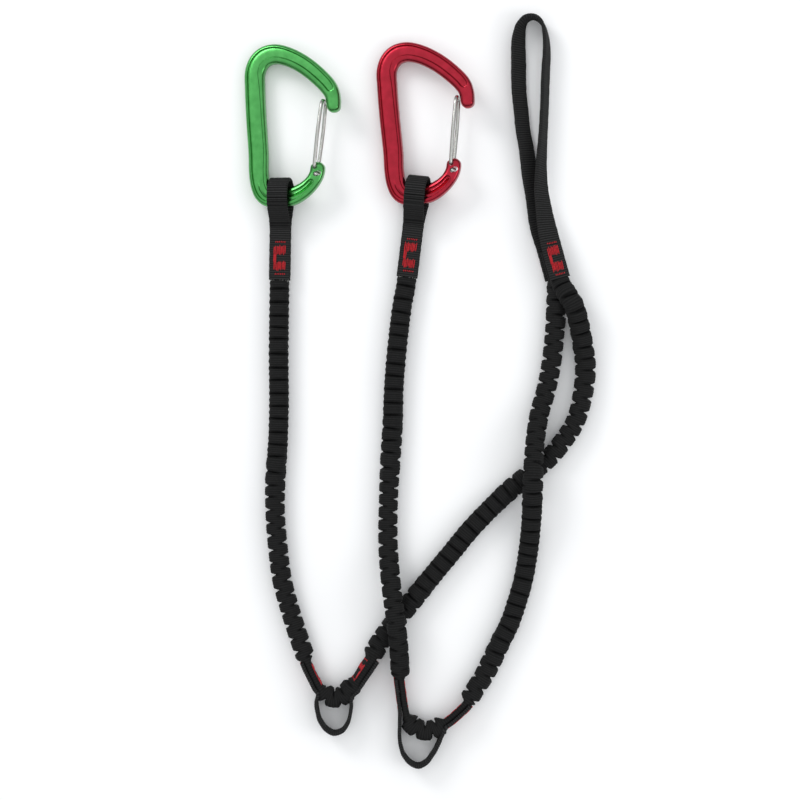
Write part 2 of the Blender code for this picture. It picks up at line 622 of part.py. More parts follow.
RED_ARM = lying([
    (0.2, 50.5, 0.522), (-1.2, 43.5, 0.522), (-3.8, 22.5, 0.522), (-5.5, 2.5, 0.522),
    (-6.2, -17.5, 0.522), (-7.5, -37.5, 0.522), (-8.3, -57.5, 0.522), (-8.4, -77.5, 0.63),
    (-7, -96, 1.217), (-4.8, -113, 1.63), (-3.2, -127.5, 1.261), (-2.2, -143, 0.674),
    (-1.2, -151, 0.63), (-0.3, -157.5, 0.63), (1.2, -163.5, 0.63), (4.6, -168, 0.63),
    (9.5, -170, 0.63), (14.5, -169.4, 0.63), (19.5, -166.3, 0.63), (25, -162, 0.63),
    (31, -156, 0.63), (35.2, -149.5, 0.543), (39.5, -143, 0.522), (43.5, -135, 0.522),
    (47.7, -126, 0.522), (52.2, -117, 0.522), (56, -106, 0.522), (59, -95.5, 0.522),
    (61.5, -81, 0.63), (62.8, -65, 1.152), (63.3, -45, 1.63), (64.3, -28, 1.304),
    (67, -12, 0.717), (70.5, 0, 0.522), (73, 12, 0.522), (74.5, 24, 0.522),
    (75.5, 36, 0.522), (75.9, 46, 0.522),
]) + points([(75.8, 55.5, 5.0), (74.5, 60, 5.0), (71.9, 69.5, 5.0)])
GREEN_BOW = points([(-44.3, -156), (-43.7, -160.5), (-42.4, -165), (-39.6, -169),
                    (-35.6, -171.2), (-31.6, -170.2), (-28.7, -166.6), (-27.4, -162),
                    (-26.8, -157.5)])
RED_BOW = points([(-2.6, -165), (-2.8, -172.5), (-2.2, -177.5), (-0.6, -182.2),
                  (2.6, -186), (6.8, -187.6), (10.4, -186), (13.6, -182), (16.4, -177),
                  (18.6, -172)])
# The tie-in loop's tape: its middle, and how far its outer face has turned from facing
# up towards the right of its run, in degrees.
TIE_IN_ROUTE = [
    (77.2, 55.5, 10.6, 15), (74.8, 64, 10.6, 15), (72.5, 72.5, 10.6, 15), (70.6, 81, 9.8, 24),
    (69.2, 90, 8.6, 38), (68, 100, 7.5, 48), (68, 111, 6.5, 58), (68.8, 125, 5.9, 66),
    (69.6, 140, 5.9, 68), (70.2, 157.5, 5.9, 68), (70.8, 170, 5.9, 71), (70, 179, 5.9, 77),
    (68, 184, 5.9, 84), (65, 186.2, 5.8, 88), (62.5, 186.2, 5.8, 94), (59.8, 184.8, 5.7, 104),
    (57.8, 181, 5.5, 118), (56.8, 175, 5.2, 130), (56.8, 165, 5.0, 135), (57, 150, 5.0, 135),
    (58, 140, 5.0, 135), (59, 130, 5.0, 135), (60.8, 120, 4.9, 137), (62.5, 107.5, 4.6, 142),
    (65, 95, 4.0, 150), (66.8, 84, 3.3, 158), (68.8, 77, 2.8, 163), (70.4, 72.5, 2.6, 165),
    (72.8, 64, 2.6, 165), (75.1, 55.5, 2.6, 165),
]


def half_leash(colour, material, sling_end, bearing, heading, route, turns, presses,
               sewn, bow):
    """Carabiner, sling, arm and clip loop of one colour."""
    away = np.array([math.cos(math.radians(bearing)), math.sin(math.radians(bearing))])
    end = np.array(sling_end)
    start = end + away * SLING_SEWN_LENGTH
    bar = end + away * SLING_LENGTH
    carabiner(colour, Vector((*bar, BAR_HEIGHT)), heading, material)
    sling = carabiner_sling(colour + "_carabiner_sling", bar, start, end)
    sling_bartacks(colour, sling)
    inside = [(*(start - away * 0.002), SEWN_HEIGHT), (*((start + end) / 2), SEWN_HEIGHT),
              (*end, SEWN_HEIGHT)]
    route = [(x, y, clear_of_table(z, 90) if sewn[0] <= k <= sewn[-1] else z)
             for k, (x, y, z) in enumerate(inside + route)]
    frames = arm(colour, route, turns, presses)
    clip_loop(colour, frames, [route[k] for k in sewn], bow)


half_leash("green", GREEN_ALUMINIUM, GREEN_SLING_END, GREEN_BEARING, GREEN_HEADING,
           GREEN_ARM,
           turns=[(0, 0), (7, 0), (9, 90), (16, 90), (19, 104), (21, 110), (25, 112),
                  (27, 180), (30, 180), (32, 100), (35, 90), (38, 30), (42, 15), (45, 15)],
           presses=[(0, 2), (14, 22), (43, 45)],
           sewn=(14, 16, 19, 22), bow=GREEN_BOW)
half_leash("red", RED_ALUMINIUM, RED_SLING_END, RED_BEARING, RED_HEADING,
           RED_ARM,
           turns=[(0, 0), (6, 0), (9, 90), (18, 88), (21, 80), (23, 80), (24, 84),
                  (26, 45), (28, 0), (32, 0), (34, 90), (38, 90), (41, 15), (43, 15)],
           presses=[(0, 2), (14, 23), (41, 43)],
           sewn=(14, 16, 21, 23), bow=RED_BOW)
tie_in_loop()
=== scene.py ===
"""Twin elasticated tool leash, laid out on a pale table and seen from straight above."""
import json
import math

import bpy
import numpy as np
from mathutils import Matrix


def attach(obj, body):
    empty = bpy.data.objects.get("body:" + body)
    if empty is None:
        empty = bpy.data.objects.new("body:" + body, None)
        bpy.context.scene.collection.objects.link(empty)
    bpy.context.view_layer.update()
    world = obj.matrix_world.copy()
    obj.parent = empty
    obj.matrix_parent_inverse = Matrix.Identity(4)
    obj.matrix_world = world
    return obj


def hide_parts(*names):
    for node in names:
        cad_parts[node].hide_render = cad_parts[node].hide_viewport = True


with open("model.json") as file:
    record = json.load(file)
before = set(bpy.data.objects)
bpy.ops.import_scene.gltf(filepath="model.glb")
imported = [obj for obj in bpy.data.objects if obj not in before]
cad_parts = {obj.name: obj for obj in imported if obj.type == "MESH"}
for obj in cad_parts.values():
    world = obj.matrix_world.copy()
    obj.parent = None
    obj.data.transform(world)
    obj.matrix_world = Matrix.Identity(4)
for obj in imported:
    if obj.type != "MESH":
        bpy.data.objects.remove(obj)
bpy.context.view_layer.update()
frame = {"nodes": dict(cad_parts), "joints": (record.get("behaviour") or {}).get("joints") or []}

# Table, light and camera ---------------------------------------------------------------
# A matt, nearly white table top under two soft lamps and a pale surround, seen by a
# long lens from straight above, so that the leash is drawn almost without perspective.
LENS = 85.0
SENSOR = 36.0
VIEW_WIDTH = 0.400
VIEW_CENTRE = (-0.0025, -0.0050)
LEASH_MIDDLE = 0.005          # height at which the view is VIEW_WIDTH wide
CAMERA_HEIGHT = VIEW_WIDTH * LENS / SENSOR + LEASH_MIDDLE


def add(tree, kind, inputs=None, **settings):
    """Adds a node with its own settings, and with values or links for its sockets."""
    made = tree.nodes.new(kind)
    for key, value in settings.items():
        setattr(made, key, value)
    for key, value in (inputs or {}).items():
        if isinstance(value, bpy.types.NodeSocket):
            tree.links.new(value, made.inputs[key])
        else:
            made.inputs[key].default_value = value
    return made


def tint(code):
    """A linear colour from an sRGB hex value, by the sRGB curve."""
    steps = [int(code[k:k + 2], 16) / 255 for k in (0, 2, 4)]
    return tuple([c / 12.92 if c <= 0.04045 else ((c + 0.055) / 1.055) ** 2.4
                  for c in steps] + [1.0])


def new_finish(name):
    """An empty node material with its Principled shader and tree."""
    material = bpy.data.materials.new(name)
    material.use_nodes = True
    return material, material.node_tree, material.node_tree.nodes["Principled BSDF"]


bpy.context.scene.view_settings.view_transform = "Standard"
surround = bpy.data.worlds.new("pale_surround")
surround.use_nodes = True
sky = surround.node_tree
facing = add(sky, "ShaderNodeTexCoord")
height = add(sky, "ShaderNodeSeparateXYZ", {"Vector": facing.outputs["Generated"]})
dome = add(sky, "ShaderNodeMapRange", {"Value": height.outputs["Z"], "From Min": 0.05,
                                       "From Max": 0.85, "To Min": 0.25, "To Max": 1.12},
           interpolation_type="SMOOTHSTEP")
sky.nodes["Background"].inputs["Color"].default_value = tint("f8fafc")
sky.links.new(dome.outputs["Result"], sky.nodes["Background"].inputs["Strength"])
bpy.context.scene.world = surround

lens = bpy.data.cameras.new("overhead_camera")
lens.lens = LENS
lens.sensor_width = SENSOR
camera = bpy.data.objects.new("overhead_camera", lens)
camera.location = (*VIEW_CENTRE, CAMERA_HEIGHT)
bpy.context.collection.objects.link(camera)
bpy.context.scene.camera = camera


def soft_lamp(name, place, size, watts):
    """A square lamp that looks at the middle of the table."""
    lamp = bpy.data.lights.new(name, "AREA")
    lamp.size = size
    lamp.energy = watts
    holder = bpy.data.objects.new(name, lamp)
    holder.location = place
    away = -holder.location
    holder.rotation_euler = away.to_track_quat("-Z", "Y").to_euler()
    bpy.context.collection.objects.link(holder)


soft_lamp("key_lamp", (-0.70, 0.75, 0.70), 0.42, 4.2)
soft_lamp("fill_lamp", (0.90, -0.20, 0.60), 0.5, 1.8)

TABLE_HALF = 3.0
table_mesh = bpy.data.meshes.new("table_top")
table_mesh.from_pydata([(x * TABLE_HALF, y * TABLE_HALF, 0.0)
                        for x, y in ((-1, -1), (1, -1), (1, 1), (-1, 1))], [], [(0, 1, 2, 3)])
table_top = bpy.data.objects.new("table_top", table_mesh)
bpy.context.collection.objects.link(table_top)
paper, tree, shader = new_finish("matt_white_paper")
grain = add(tree, "ShaderNodeTexNoise", {"Scale": 900.0, "Detail": 2.0})
bump = add(tree, "ShaderNodeBump", {"Strength": 0.03, "Height": grain.outputs["Fac"]})
shader.inputs["Base Color"].default_value = tint("fcfcfc")
shader.inputs["Roughness"].default_value = 0.9
tree.links.new(bump.outputs["Normal"], shader.inputs["Normal"])
table_mesh.materials.append(paper)

# Elasticated arms ----------------------------------------------------------------------
# Each arm is one woven nylon tube drawn up over a stretched rubber core, so that slack
# cloth stands in tight folds on its two flat faces, one face half a fold behind the other.
# It is pressed flat where it is sewn: in its sling, along its clip loop and at the end.
MM = 0.001
FOLD_PITCH = 6.5 * MM
FOLD_TOP = 4.85 * MM          # middle of the arm to the crest of a fold
FOLD_ROOT = 1.75 * MM         # and to the bottom of the crease between two folds
SLEEVE_HALF_WIDTH = 4.85 * MM
TABLE_REST = 0.12 * MM        # cloth that lies on the table flattens at this height
FOLD_SLOPE = 0.42             # share of half a fold over which it rises from its crease
RING_STEP = 0.42 * MM         # between the rings of a sleeve's mesh
RING_SIDES = 44
OPEN_PAST = 2.5 * MM          # how far past its stitching a sleeve has fully opened out
OPEN_EASE = 4.0 * MM          # length over which it does so
SEWN_HALF_WIDTH = 4.35 * MM
SEWN_HALF_THICK = 1.68 * MM
SEWN_HEIGHT = 4.5 * MM

GREEN_ROUTE = [
    (-62.33, 76.5, 4.5), (-62.5, 66.7, 4.5), (-62.7, 55, 4.5),
    (-62.8, 49, 4.8), (-63, 35, 4.8), (-63.2, 15, 4.8), (-63, -5, 4.8),
    (-63.5, -25, 4.8), (-64.8, -45, 4.8), (-64.8, -62.5, 4.8), (-63.5, -79, 4.8),
    (-61.5, -95, 4.8), (-57.5, -110, 4.8), (-53, -124, 5.2), (-49, -135, 5.8),
    (-45.3, -143, 5.8), (-41.6, -149.5, 5.8), (-37.6, -153, 5.8), (-33, -153.4, 6.0),
    (-28.8, -150.5, 6.4), (-25, -145.5, 6.8), (-20.8, -139, 6.8), (-17, -133.5, 6.2),
    (-13, -127, 5.0), (-7.5, -119, 4.8), (-0.5, -110.5, 4.8), (7.5, -100.5, 4.8),
    (16, -90, 4.8), (23.5, -81, 4.8), (32.5, -70, 4.8), (42, -60, 4.8), (52.5, -50, 4.8),
    (63, -41.5, 4.8), (71.5, -34.5, 4.8), (79, -25.5, 4.8), (85.2, -15.5, 4.8),
    (89, -1.5, 4.8), (90.2, 12, 5.2), (88.8, 22.5, 6.6), (86.3, 34, 9.5),
    (84, 41.5, 11.7), (81.2, 46.5, 11.4), (78.4, 51.2, 8.9), (76.6, 55.5, 8.1),
    (75.3, 60, 8.1), (72.7, 69.5, 8.1),
]
RED_ROUTE = [
    (3.62, 77.84, 4.5), (2.43, 68.16, 4.5), (1.0, 56.5, 4.5),
    (0.2, 50.5, 4.8), (-1.2, 43.5, 4.8), (-3.8, 22.5, 4.8), (-5.5, 2.5, 4.8),
    (-6.2, -17.5, 4.8), (-7.5, -37.5, 4.8), (-8.3, -57.5, 4.8), (-8.4, -77.5, 5.8),
    (-7, -96, 11.2), (-4.8, -113, 15.0), (-3.2, -127.5, 11.6), (-2.2, -143, 6.2),
    (-1.2, -151, 5.8), (-0.3, -157.5, 5.8), (1.2, -163.5, 5.8), (4.6, -168, 5.8),
    (9.5, -170, 5.8), (14.5, -169.4, 5.8), (19.5, -166.3, 5.8), (25, -162, 5.8),
    (31, -156, 5.8), (35.2, -149.5, 5.0), (39.5, -143, 4.8), (43.5, -135, 4.8),
    (47.7, -126, 4.8), (52.2, -117, 4.8), (56, -106, 4.8), (59, -95.5, 4.8),
    (61.5, -81, 5.8), (62.8, -65, 10.6), (63.3, -45, 15.0), (64.3, -28, 12.0),
    (67, -12, 6.6), (70.5, 0, 4.8), (73, 12, 4.8), (74.5, 24, 4.8), (75.5, 36, 4.8),
    (75.9, 46, 4.8), (75.8, 55.5, 5.0), (74.5, 60, 5.0), (71.9, 69.5, 5.0),
]
# Numbered points of the routes: how far the flat side has turned from facing up, and the
# stretches that are pressed flat.
GREEN_TURNS = [(0, 0), (7, 0), (9, 90), (16, 90), (19, 104), (21, 110), (25, 112),
               (27, 180), (30, 180), (32, 100), (35, 90), (38, 30), (42, 15), (45, 15)]
RED_TURNS = [(0, 0), (6, 0), (9, 90), (18, 88), (21, 80), (23, 80), (24, 84), (26, 45),
             (28, 0), (32, 0), (34, 90), (38, 90), (41, 15), (43, 15)]
GREEN_PRESSED = [(0, 2), (14, 16), (20, 22), (43, 45)]
RED_PRESSED = [(0, 2), (14, 17), (21, 23), (41, 43)]


def unit(rows):
    """Rows of vectors, each divided by its length."""
    return rows / np.linalg.norm(rows, axis=-1, keepdims=True)


def rise(x):
    """0 below zero, 1 above one, and 3x^2 - 2x^3 between."""
    x = np.clip(x, 0.0, 1.0)
    return x * x * (3 - 2 * x)


def run_of(points):
    """Arc length from the first point to each point."""
    steps = np.linalg.norm(np.diff(points[:, :3], axis=0), axis=1)
    return np.concatenate([[0.0], np.cumsum(steps)])


def spline(points, count):
    """A centripetal Catmull-Rom curve (Barry and Goldman's form), at even arc lengths."""
    p = np.asarray(points, float)
    p = np.vstack([2 * p[0] - p[1], p, 2 * p[-1] - p[-2]])
    a, b, c, d = p[:-3, None], p[1:-2, None], p[2:-1, None], p[3:, None]

    def knot(q, r):
        return np.linalg.norm((r - q)[..., :3], axis=-1, keepdims=True) ** 0.5

    t1 = knot(a, b)
    t2 = t1 + knot(b, c)
    t3 = t2 + knot(c, d)
    t = t1 + (t2 - t1) * np.linspace(0, 1, 24, endpoint=False)[None, :, None]
    ab = (t1 - t) / t1 * a + t / t1 * b
    bc = (t2 - t) / (t2 - t1) * b + (t - t1) / (t2 - t1) * c
    cd = (t3 - t) / (t3 - t2) * c + (t - t2) / (t3 - t2) * d
    abc = (t2 - t) / t2 * ab + t / t2 * bc
    bcd = (t3 - t) / (t3 - t1) * bc + (t - t1) / (t3 - t1) * cd
    fine = ((t2 - t) / (t2 - t1) * abc + (t - t1) / (t2 - t1) * bcd).reshape(-1, p.shape[1])
    fine = np.vstack([fine, p[-2]])
    run = run_of(fine)
    at = np.linspace(0, run[-1], count)
    return np.column_stack([np.interp(at, run, fine[:, k]) for k in range(p.shape[1])])


def turned_frames(path, angles):
    """Width direction and normal: the normal turns by angles from up towards the right."""
    tangent = unit(np.gradient(path, axis=0))
    flat = unit(tangent[:, :2])
    right = np.column_stack([flat[:, 1], -flat[:, 0], np.zeros(len(flat))])
    turn = np.radians(angles)[:, None]
    normal = np.cos(turn) * (0.0, 0.0, 1.0) + np.sin(turn) * right
    wide = unit(np.cross(tangent, normal))
    return wide, np.cross(wide, tangent)


def wander(x, seed, scale):
    """Smooth unrepeating values from -1 to 1: three sines of unrelated lengths."""
    turns = np.random.default_rng(seed).uniform(0, 2 * math.pi, 3)
    x = np.asarray(x) / scale * 2 * math.pi
    return (np.sin(x + turns[0]) + np.sin(1.618 * x + turns[1])
            + np.sin(2.414 * x + turns[2])) / 3


def mesh_of(name, points, corners, sizes):
    """A smooth mesh from its points, the corners of all its faces and the faces' sizes."""
    mesh = bpy.data.meshes.new(name)
    mesh.vertices.add(points.size // 3)
    mesh.vertices.foreach_set("co", points.reshape(-1).astype(np.float32))
    mesh.loops.add(len(corners))
    mesh.loops.foreach_set("vertex_index", corners.astype(np.int32))
    mesh.polygons.add(len(sizes))
    starts = np.concatenate([[0], np.cumsum(sizes)[:-1]])
    mesh.polygons.foreach_set("loop_start", starts.astype(np.int32))
    mesh.polygons.foreach_set("use_smooth", np.ones(len(sizes), bool))
    return mesh


def set_out(mesh, material):
    """The finished mesh as an object of the same name, at the origin."""
    mesh.validate()
    mesh.update()
    mesh.materials.append(material)
    made = bpy.data.objects.new(mesh.name, mesh)
    bpy.context.collection.objects.link(made)
    return made


def cloth_mesh(name, grid, material, values=None):
    """A closed tube from a grid of points: rings along its first axis, round its second.

    The UV map holds metres along and metres round, and the attribute "fold" holds values, from
    which the nylon finish paints shade and highlight.
    """
    rings, round_count = grid.shape[:2]
    index = np.arange(rings * round_count).reshape(rings, round_count)
    beside = np.roll(index, -1, axis=1)
    faces = np.stack([index[:-1], beside[:-1], beside[1:], index[1:]], axis=-1)
    corners = np.concatenate([faces.reshape(-1), index[0][::-1], index[-1]])
    sizes = np.concatenate([np.full(faces.size // 4, 4), [round_count, round_count]])
    mesh = mesh_of(name, grid, corners, sizes)
    along = run_of(grid.mean(axis=1))[:, None] + np.zeros((1, round_count))
    steps = np.linalg.norm(np.roll(grid, -1, axis=1) - grid, axis=-1)
    across = np.cumsum(steps, axis=1) - steps
    layout = np.stack([along, across], axis=-1).reshape(-1, 2)[corners]
    last = faces.reshape(-1, 4)
    wrap = (last[:, 1] % round_count == 0)
    layout_faces = layout[:faces.size // 4 * 4].reshape(-1, 4, 2)
    total = across[:, -1] + steps[:, -1]
    ring_of = last[:, 0] // round_count
    layout_faces[wrap, 1, 1] = total[ring_of[wrap]]
    layout_faces[wrap, 2, 1] = total[ring_of[wrap] + 1]
    mesh.uv_layers.new(name="run").data.foreach_set("uv", layout.reshape(-1).astype(np.float32))
    if values is not None:
        fold = mesh.attributes.new("fold", "FLOAT", "POINT")
        fold.data.foreach_set("value", values.reshape(-1).astype(np.float32))
    return set_out(mesh, material)


def woven_nylon(name, rib, crease, crest, painted_highlight):
    """Black nylon, woven plain: ribs across it and finer yarns along it, as bumps.

    Its colour runs from crease to crest with the "fold" attribute, painted shade in the
    creases, and to a painted highlight on the backs of the ribs, broken up by noise.
    """
    material, tree, shader = new_finish(name)
    place = add(tree, "ShaderNodeUVMap", uv_map="run")
    fold = add(tree, "ShaderNodeAttribute", attribute_name="fold")
    weft_place = add(tree, "ShaderNodeMapping", {"Vector": place.outputs["UV"],
                                                 "Scale": (1.0, 0.08, 1.0)})
    weft = add(tree, "ShaderNodeTexWave", {"Vector": weft_place.outputs["Vector"],
                                           "Scale": 2 * math.pi / (20 * rib),
                                           "Distortion": 1.4, "Detail": 2.0,
                                           "Detail Scale": 1.6}, bands_direction="X")
    warp = add(tree, "ShaderNodeTexWave", {"Vector": place.outputs["UV"],
                                           "Scale": 2 * math.pi / (20 * 0.62 * MM),
                                           "Distortion": 0.8}, bands_direction="Y")
    yarn = add(tree, "ShaderNodeMix", {"Factor": 0.3, "A": weft.outputs["Fac"],
                                       "B": warp.outputs["Fac"]}, data_type="FLOAT")
    highlight_noise = add(tree, "ShaderNodeTexNoise", {"Vector": place.outputs["UV"],
                                            "Scale": 1400.0, "Detail": 3.0})
    # Painted shade: the crease colour in the creases, the crest colour on the crests.
    depth = add(tree, "ShaderNodeMapRange", {"Value": fold.outputs["Fac"],
                                             "From Min": 0.05, "From Max": 0.95})
    tone = add(tree, "ShaderNodeMix", {"Factor": depth.outputs["Result"],
                                       "A": tint(crease), "B": tint(crest)},
               data_type="RGBA")
    # Painted highlight: on the rib backs, broken up by noise, and only where the cloth stands
    # high.
    lift = add(tree, "ShaderNodeMath", {0: weft.outputs["Fac"], 1: highlight_noise.outputs["Fac"]},
               operation="MULTIPLY")
    highlight_mask = add(tree, "ShaderNodeMath", {0: lift.outputs[0], 1: depth.outputs["Result"]},
               operation="MULTIPLY")
    shade = add(tree, "ShaderNodeMix", {"Factor": highlight_mask.outputs[0],
                                        "A": tone.outputs["Result"], "B": tint(painted_highlight)},
                data_type="RGBA")
    bump = add(tree, "ShaderNodeBump", {"Strength": 0.55, "Distance": 0.25 * MM,
                                        "Height": yarn.outputs["Result"]})
    tree.links.new(shade.outputs["Result"], shader.inputs["Base Color"])
    tree.links.new(bump.outputs["Normal"], shader.inputs["Normal"])
    shader.inputs["Roughness"].default_value = 0.85
    shader.inputs["Specular IOR Level"].default_value = 0.08
    shader.inputs["Sheen Weight"].default_value = 0.02
    shader.inputs["Sheen Roughness"].default_value = 0.5
    return material


# Colours: painted shade in the creases, the black on the crests, painted highlight on the ribs.
gathered_cloth = woven_nylon("gathered_nylon_weave_black", 1.25 * MM, "050505", "171717",
                             "2c2c2c")


def arm_frames(route, turns, count):
    """Path, run, the run at each numbered point, and the sleeve's two directions."""
    path = spline(np.array(route) * MM, count)
    run = run_of(path)
    marks = np.array([run[np.argmin(np.linalg.norm(path - p, axis=1))]
                      for p in np.array(route) * MM])
    angles = np.interp(run, [marks[k] for k, a in turns], [a for k, a in turns])
    wide, normal = turned_frames(path, angles)
    return path, run, marks, wide, normal


def gathered_sleeve(name, route, turns, pressed, seed):
    """Rings of a rounded box whose two faces rise and fall in folds along the arm.

    Ring: x = a sign(cos t) |cos t|^e, y = h sign(sin t) |sin t|^e, with its own h for the
    front and the back.  Fold: h = root + (top - root) q (2 - q), with
    q = min(1, (1 - |2u|) / FOLD_SLOPE), u being the place within one pitch, and the
    back's u half a pitch later.
    """
    rings = int(run_of(spline(np.array(route) * MM, 2000))[-1] / RING_STEP)
    path, run, marks, wide, normal = arm_frames(route, turns, rings)
    flat = np.zeros(len(run))
    for first, last in pressed:
        grows = rise((run - marks[first] + OPEN_PAST) / OPEN_EASE)
        falls = rise((marks[last] + OPEN_PAST - run) / OPEN_EASE)
        flat = np.maximum(flat, grows * falls)
    turn = np.linspace(0, 2 * math.pi, RING_SIDES, endpoint=False)[None, :]
    flat = flat[:, None]
    square = 0.80 - 0.18 * flat
    c = np.sign(np.cos(turn)) * np.abs(np.cos(turn)) ** square
    s = np.sign(np.sin(turn)) * np.abs(np.sin(turn)) ** square
    at = run[:, None]
    phase = at / FOLD_PITCH + 0.16 * wander(at, seed, 47 * MM)
    lean = 0.10 * wander(at, seed + 1, 23 * MM) * c
    front = phase + lean
    back = phase + 0.5 - lean + 0.05 * wander(at, seed + 2, 31 * MM)
    u = np.where(s >= 0, front, back)
    u = u - np.floor(u) - 0.5
    steep = np.minimum(1, (1 - np.abs(2 * u)) / FOLD_SLOPE)
    crest = steep * (2 - steep)
    whole = np.floor(np.where(s >= 0, front, back + 100))
    vary = np.sin(whole * 12.9898 + seed) * 0.5
    height = FOLD_ROOT + (FOLD_TOP - FOLD_ROOT) * crest * (1 + 0.07 * vary)
    height = height + 0.07 * MM * np.sin(2 * math.pi * u * 5.0) * crest
    height = height * (1 - flat) + (SEWN_HALF_THICK + 0.08 * MM * wander(at, 5, 4 * MM)) * flat
    ripple = 0.16 * MM * np.cos(2 * math.pi * 2 * phase) + 0.10 * MM * wander(at, 9, 9 * MM)
    half = (SLEEVE_HALF_WIDTH + ripple) * (1 - flat) + SEWN_HALF_WIDTH * flat
    grid = (path[:, None, :] + (half * c)[..., None] * wide[:, None, :]
            + (height * s)[..., None] * normal[:, None, :])
    grid[..., 2] = np.maximum(grid[..., 2], TABLE_REST)
    # Painted shade: 0 in the creases, 1 on the crests and along the edges, 0.75 where pressed
    # flat; the nylon darkens with it and puts its painted highlight on the crests.
    fold_shade = crest * (1 - flat) + 0.75 * flat
    fold_shade = 1 - (1 - fold_shade) * np.abs(s) ** 0.5
    sleeve = cloth_mesh(name, grid, gathered_cloth, fold_shade)
    return sleeve, path, marks


for colour, route, turns, pressed, seed in (
        ("green", GREEN_ROUTE, GREEN_TURNS, GREEN_PRESSED, 11),
        ("red", RED_ROUTE, RED_TURNS, RED_PRESSED, 29)):
    sleeve, path, marks = gathered_sleeve(colour + "_gathered_sleeve", route, turns,
                                          pressed, seed)
    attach(sleeve, "leash")
    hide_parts(colour + "_arm_sleeve")

# Elastic cores -------------------------------------------------------------------------
# The flat rubber strips inside the arms: extruded, matt black with a fine grain, held by
# the stitching at both ends and out of sight.  They keep the simple shape they came in.
rubber, tree, shader = new_finish("extruded_rubber_black")
place = add(tree, "ShaderNodeTexCoord")
rubber_grain = add(tree, "ShaderNodeTexNoise", {"Vector": place.outputs["Object"],
                                                "Scale": 1800.0, "Detail": 2.0})
mixed = add(tree, "ShaderNodeMix", {"Factor": rubber_grain.outputs["Fac"],
                                    "A": tint("121212"), "B": tint("1e1e1e")},
            data_type="RGBA")
bump = add(tree, "ShaderNodeBump", {"Strength": 0.3, "Distance": 0.1 * MM,
                                    "Height": rubber_grain.outputs["Fac"]})
tree.links.new(mixed.outputs["Result"], shader.inputs["Base Color"])
tree.links.new(bump.outputs["Normal"], shader.inputs["Normal"])
shader.inputs["Roughness"].default_value = 0.7
for colour in ("green", "red"):
    core = frame["nodes"][colour + "_elastic_core"]
    core.data.materials.clear()
    core.data.materials.append(rubber)

# Carabiner bodies ----------------------------------------------------------------------
# Hot-forged aluminium bars with a groove pressed into both faces, anodised green or red.
# Each hangs loose in the eye of its sling and turns about its own basket bar.
BAR_DEPTH = 7.0 * MM
TONGUE_DEPTH = 6.2 * MM
CARABINER_WIDTH = 40.6 * MM
CARABINER_HEIGHT = 71.7 * MM
WIRE_DIAMETER = 1.8 * MM
WIRE_CLEARANCE = 0.3 * MM
WIRE_HOLE_SPACING = 3.5 * MM
WIRE_HOLE_STEP = 0.4 * MM     # how far the lower hole stands nearer the gate side
GATE_TRAVEL = 28.0
PIVOT = np.array([0.451 * CARABINER_WIDTH, 0.1985 * CARABINER_HEIGHT])
LOWER_HOLE = PIVOT + (WIRE_HOLE_STEP, -WIRE_HOLE_SPACING)
# Centreline from nose to tongue, as shares of width and height, then in millimetres the
# bar's width there and the widths of its outer and inner flange.
BODY_LINE = [
    (0.672, 0.575, 5.4, 1.9, 2.5), (0.672, 0.620, 6.8, 1.9, 2.7),
    (0.660, 0.690, 7.5, 1.9, 2.9), (0.613, 0.748, 8.5, 1.8, 3.2),
    (0.473, 0.834, 9.0, 1.8, 3.3), (0.293, 0.916, 9.2, 1.8, 3.3),
    (0.100, 0.975, 9.4, 1.9, 3.1), (-0.064, 0.998, 9.8, 1.9, 3.0),
    (-0.190, 0.984, 10.2, 1.9, 3.2), (-0.273, 0.945, 10.3, 2.0, 3.4),
    (-0.323, 0.878, 10.2, 2.0, 3.0), (-0.325, 0.760, 10.1, 2.0, 2.2),
    (-0.308, 0.550, 10.1, 2.0, 1.8), (-0.278, 0.300, 10.0, 2.0, 1.8),
    (-0.2746, 0.1743, 9.8, 2.1, 2.0), (-0.2525, 0.0865, 9.7, 2.2, 2.3),
    (-0.2106, 0.0307, 9.7, 2.3, 2.4), (-0.1539, 0.0042, 9.7, 2.4, 2.6),
    (-0.077, 0.000, 9.7, 2.4, 2.6), (0.077, 0.000, 9.5, 2.4, 2.7),
    (0.1539, 0.0042, 9.2, 2.3, 2.6),
    (0.278, 0.036, 8.2, 2.1, 2.4), (0.392, 0.090, 7.3, 2.0, 2.1),
    (0.456, 0.148, 7.2, 2.0, 2.0), (0.476, 0.202, 7.0, 2.0, 2.0),
    (0.482, 0.237, 5.2, 2.0, 2.0),
]
GROOVE_ENDS = ((0.640, 0.708), (0.411, 0.115))
GROOVE_DEPTH = 1.35 * MM
GROOVE_WALL = 0.35 * MM       # half the width over which each wall falls
GROOVE_RUN_OUT = 2.6 * MM     # length of its rounded ends
END_DOME = 2.6 * MM           # length of the bar's rounded ends
SECTION_POWER = 3.2
RIDGE_HEIGHT = 0.75 * MM      # low ridge in the floor of the basket's groove
RIDGE_HALF_WIDTH = 0.42 * MM


def carabiner_frame(colour):
    """Where a carabiner's own axes stand: origin, and rows u (gate side), v (crown), w."""
    joints = {joint["name"]: joint for joint in frame["joints"]}
    swing = joints[colour + "_carabiner_swing"]
    u = unit(np.array(swing["axis"], float))
    w = unit(np.array(joints[colour + "_gate_opening"]["axis"], float))
    return np.array(swing["pos_m"], float), np.array([u, np.cross(w, u), w])


def between(first, last, count, ease=False):
    """Columns of values from first to last, crowded towards the first if ease is set."""
    share = np.arange(count) / count
    if ease:
        share = 1 - np.cos(share * math.pi / 2)
    return first[:, None] + (last - first)[:, None] * share[None, :]


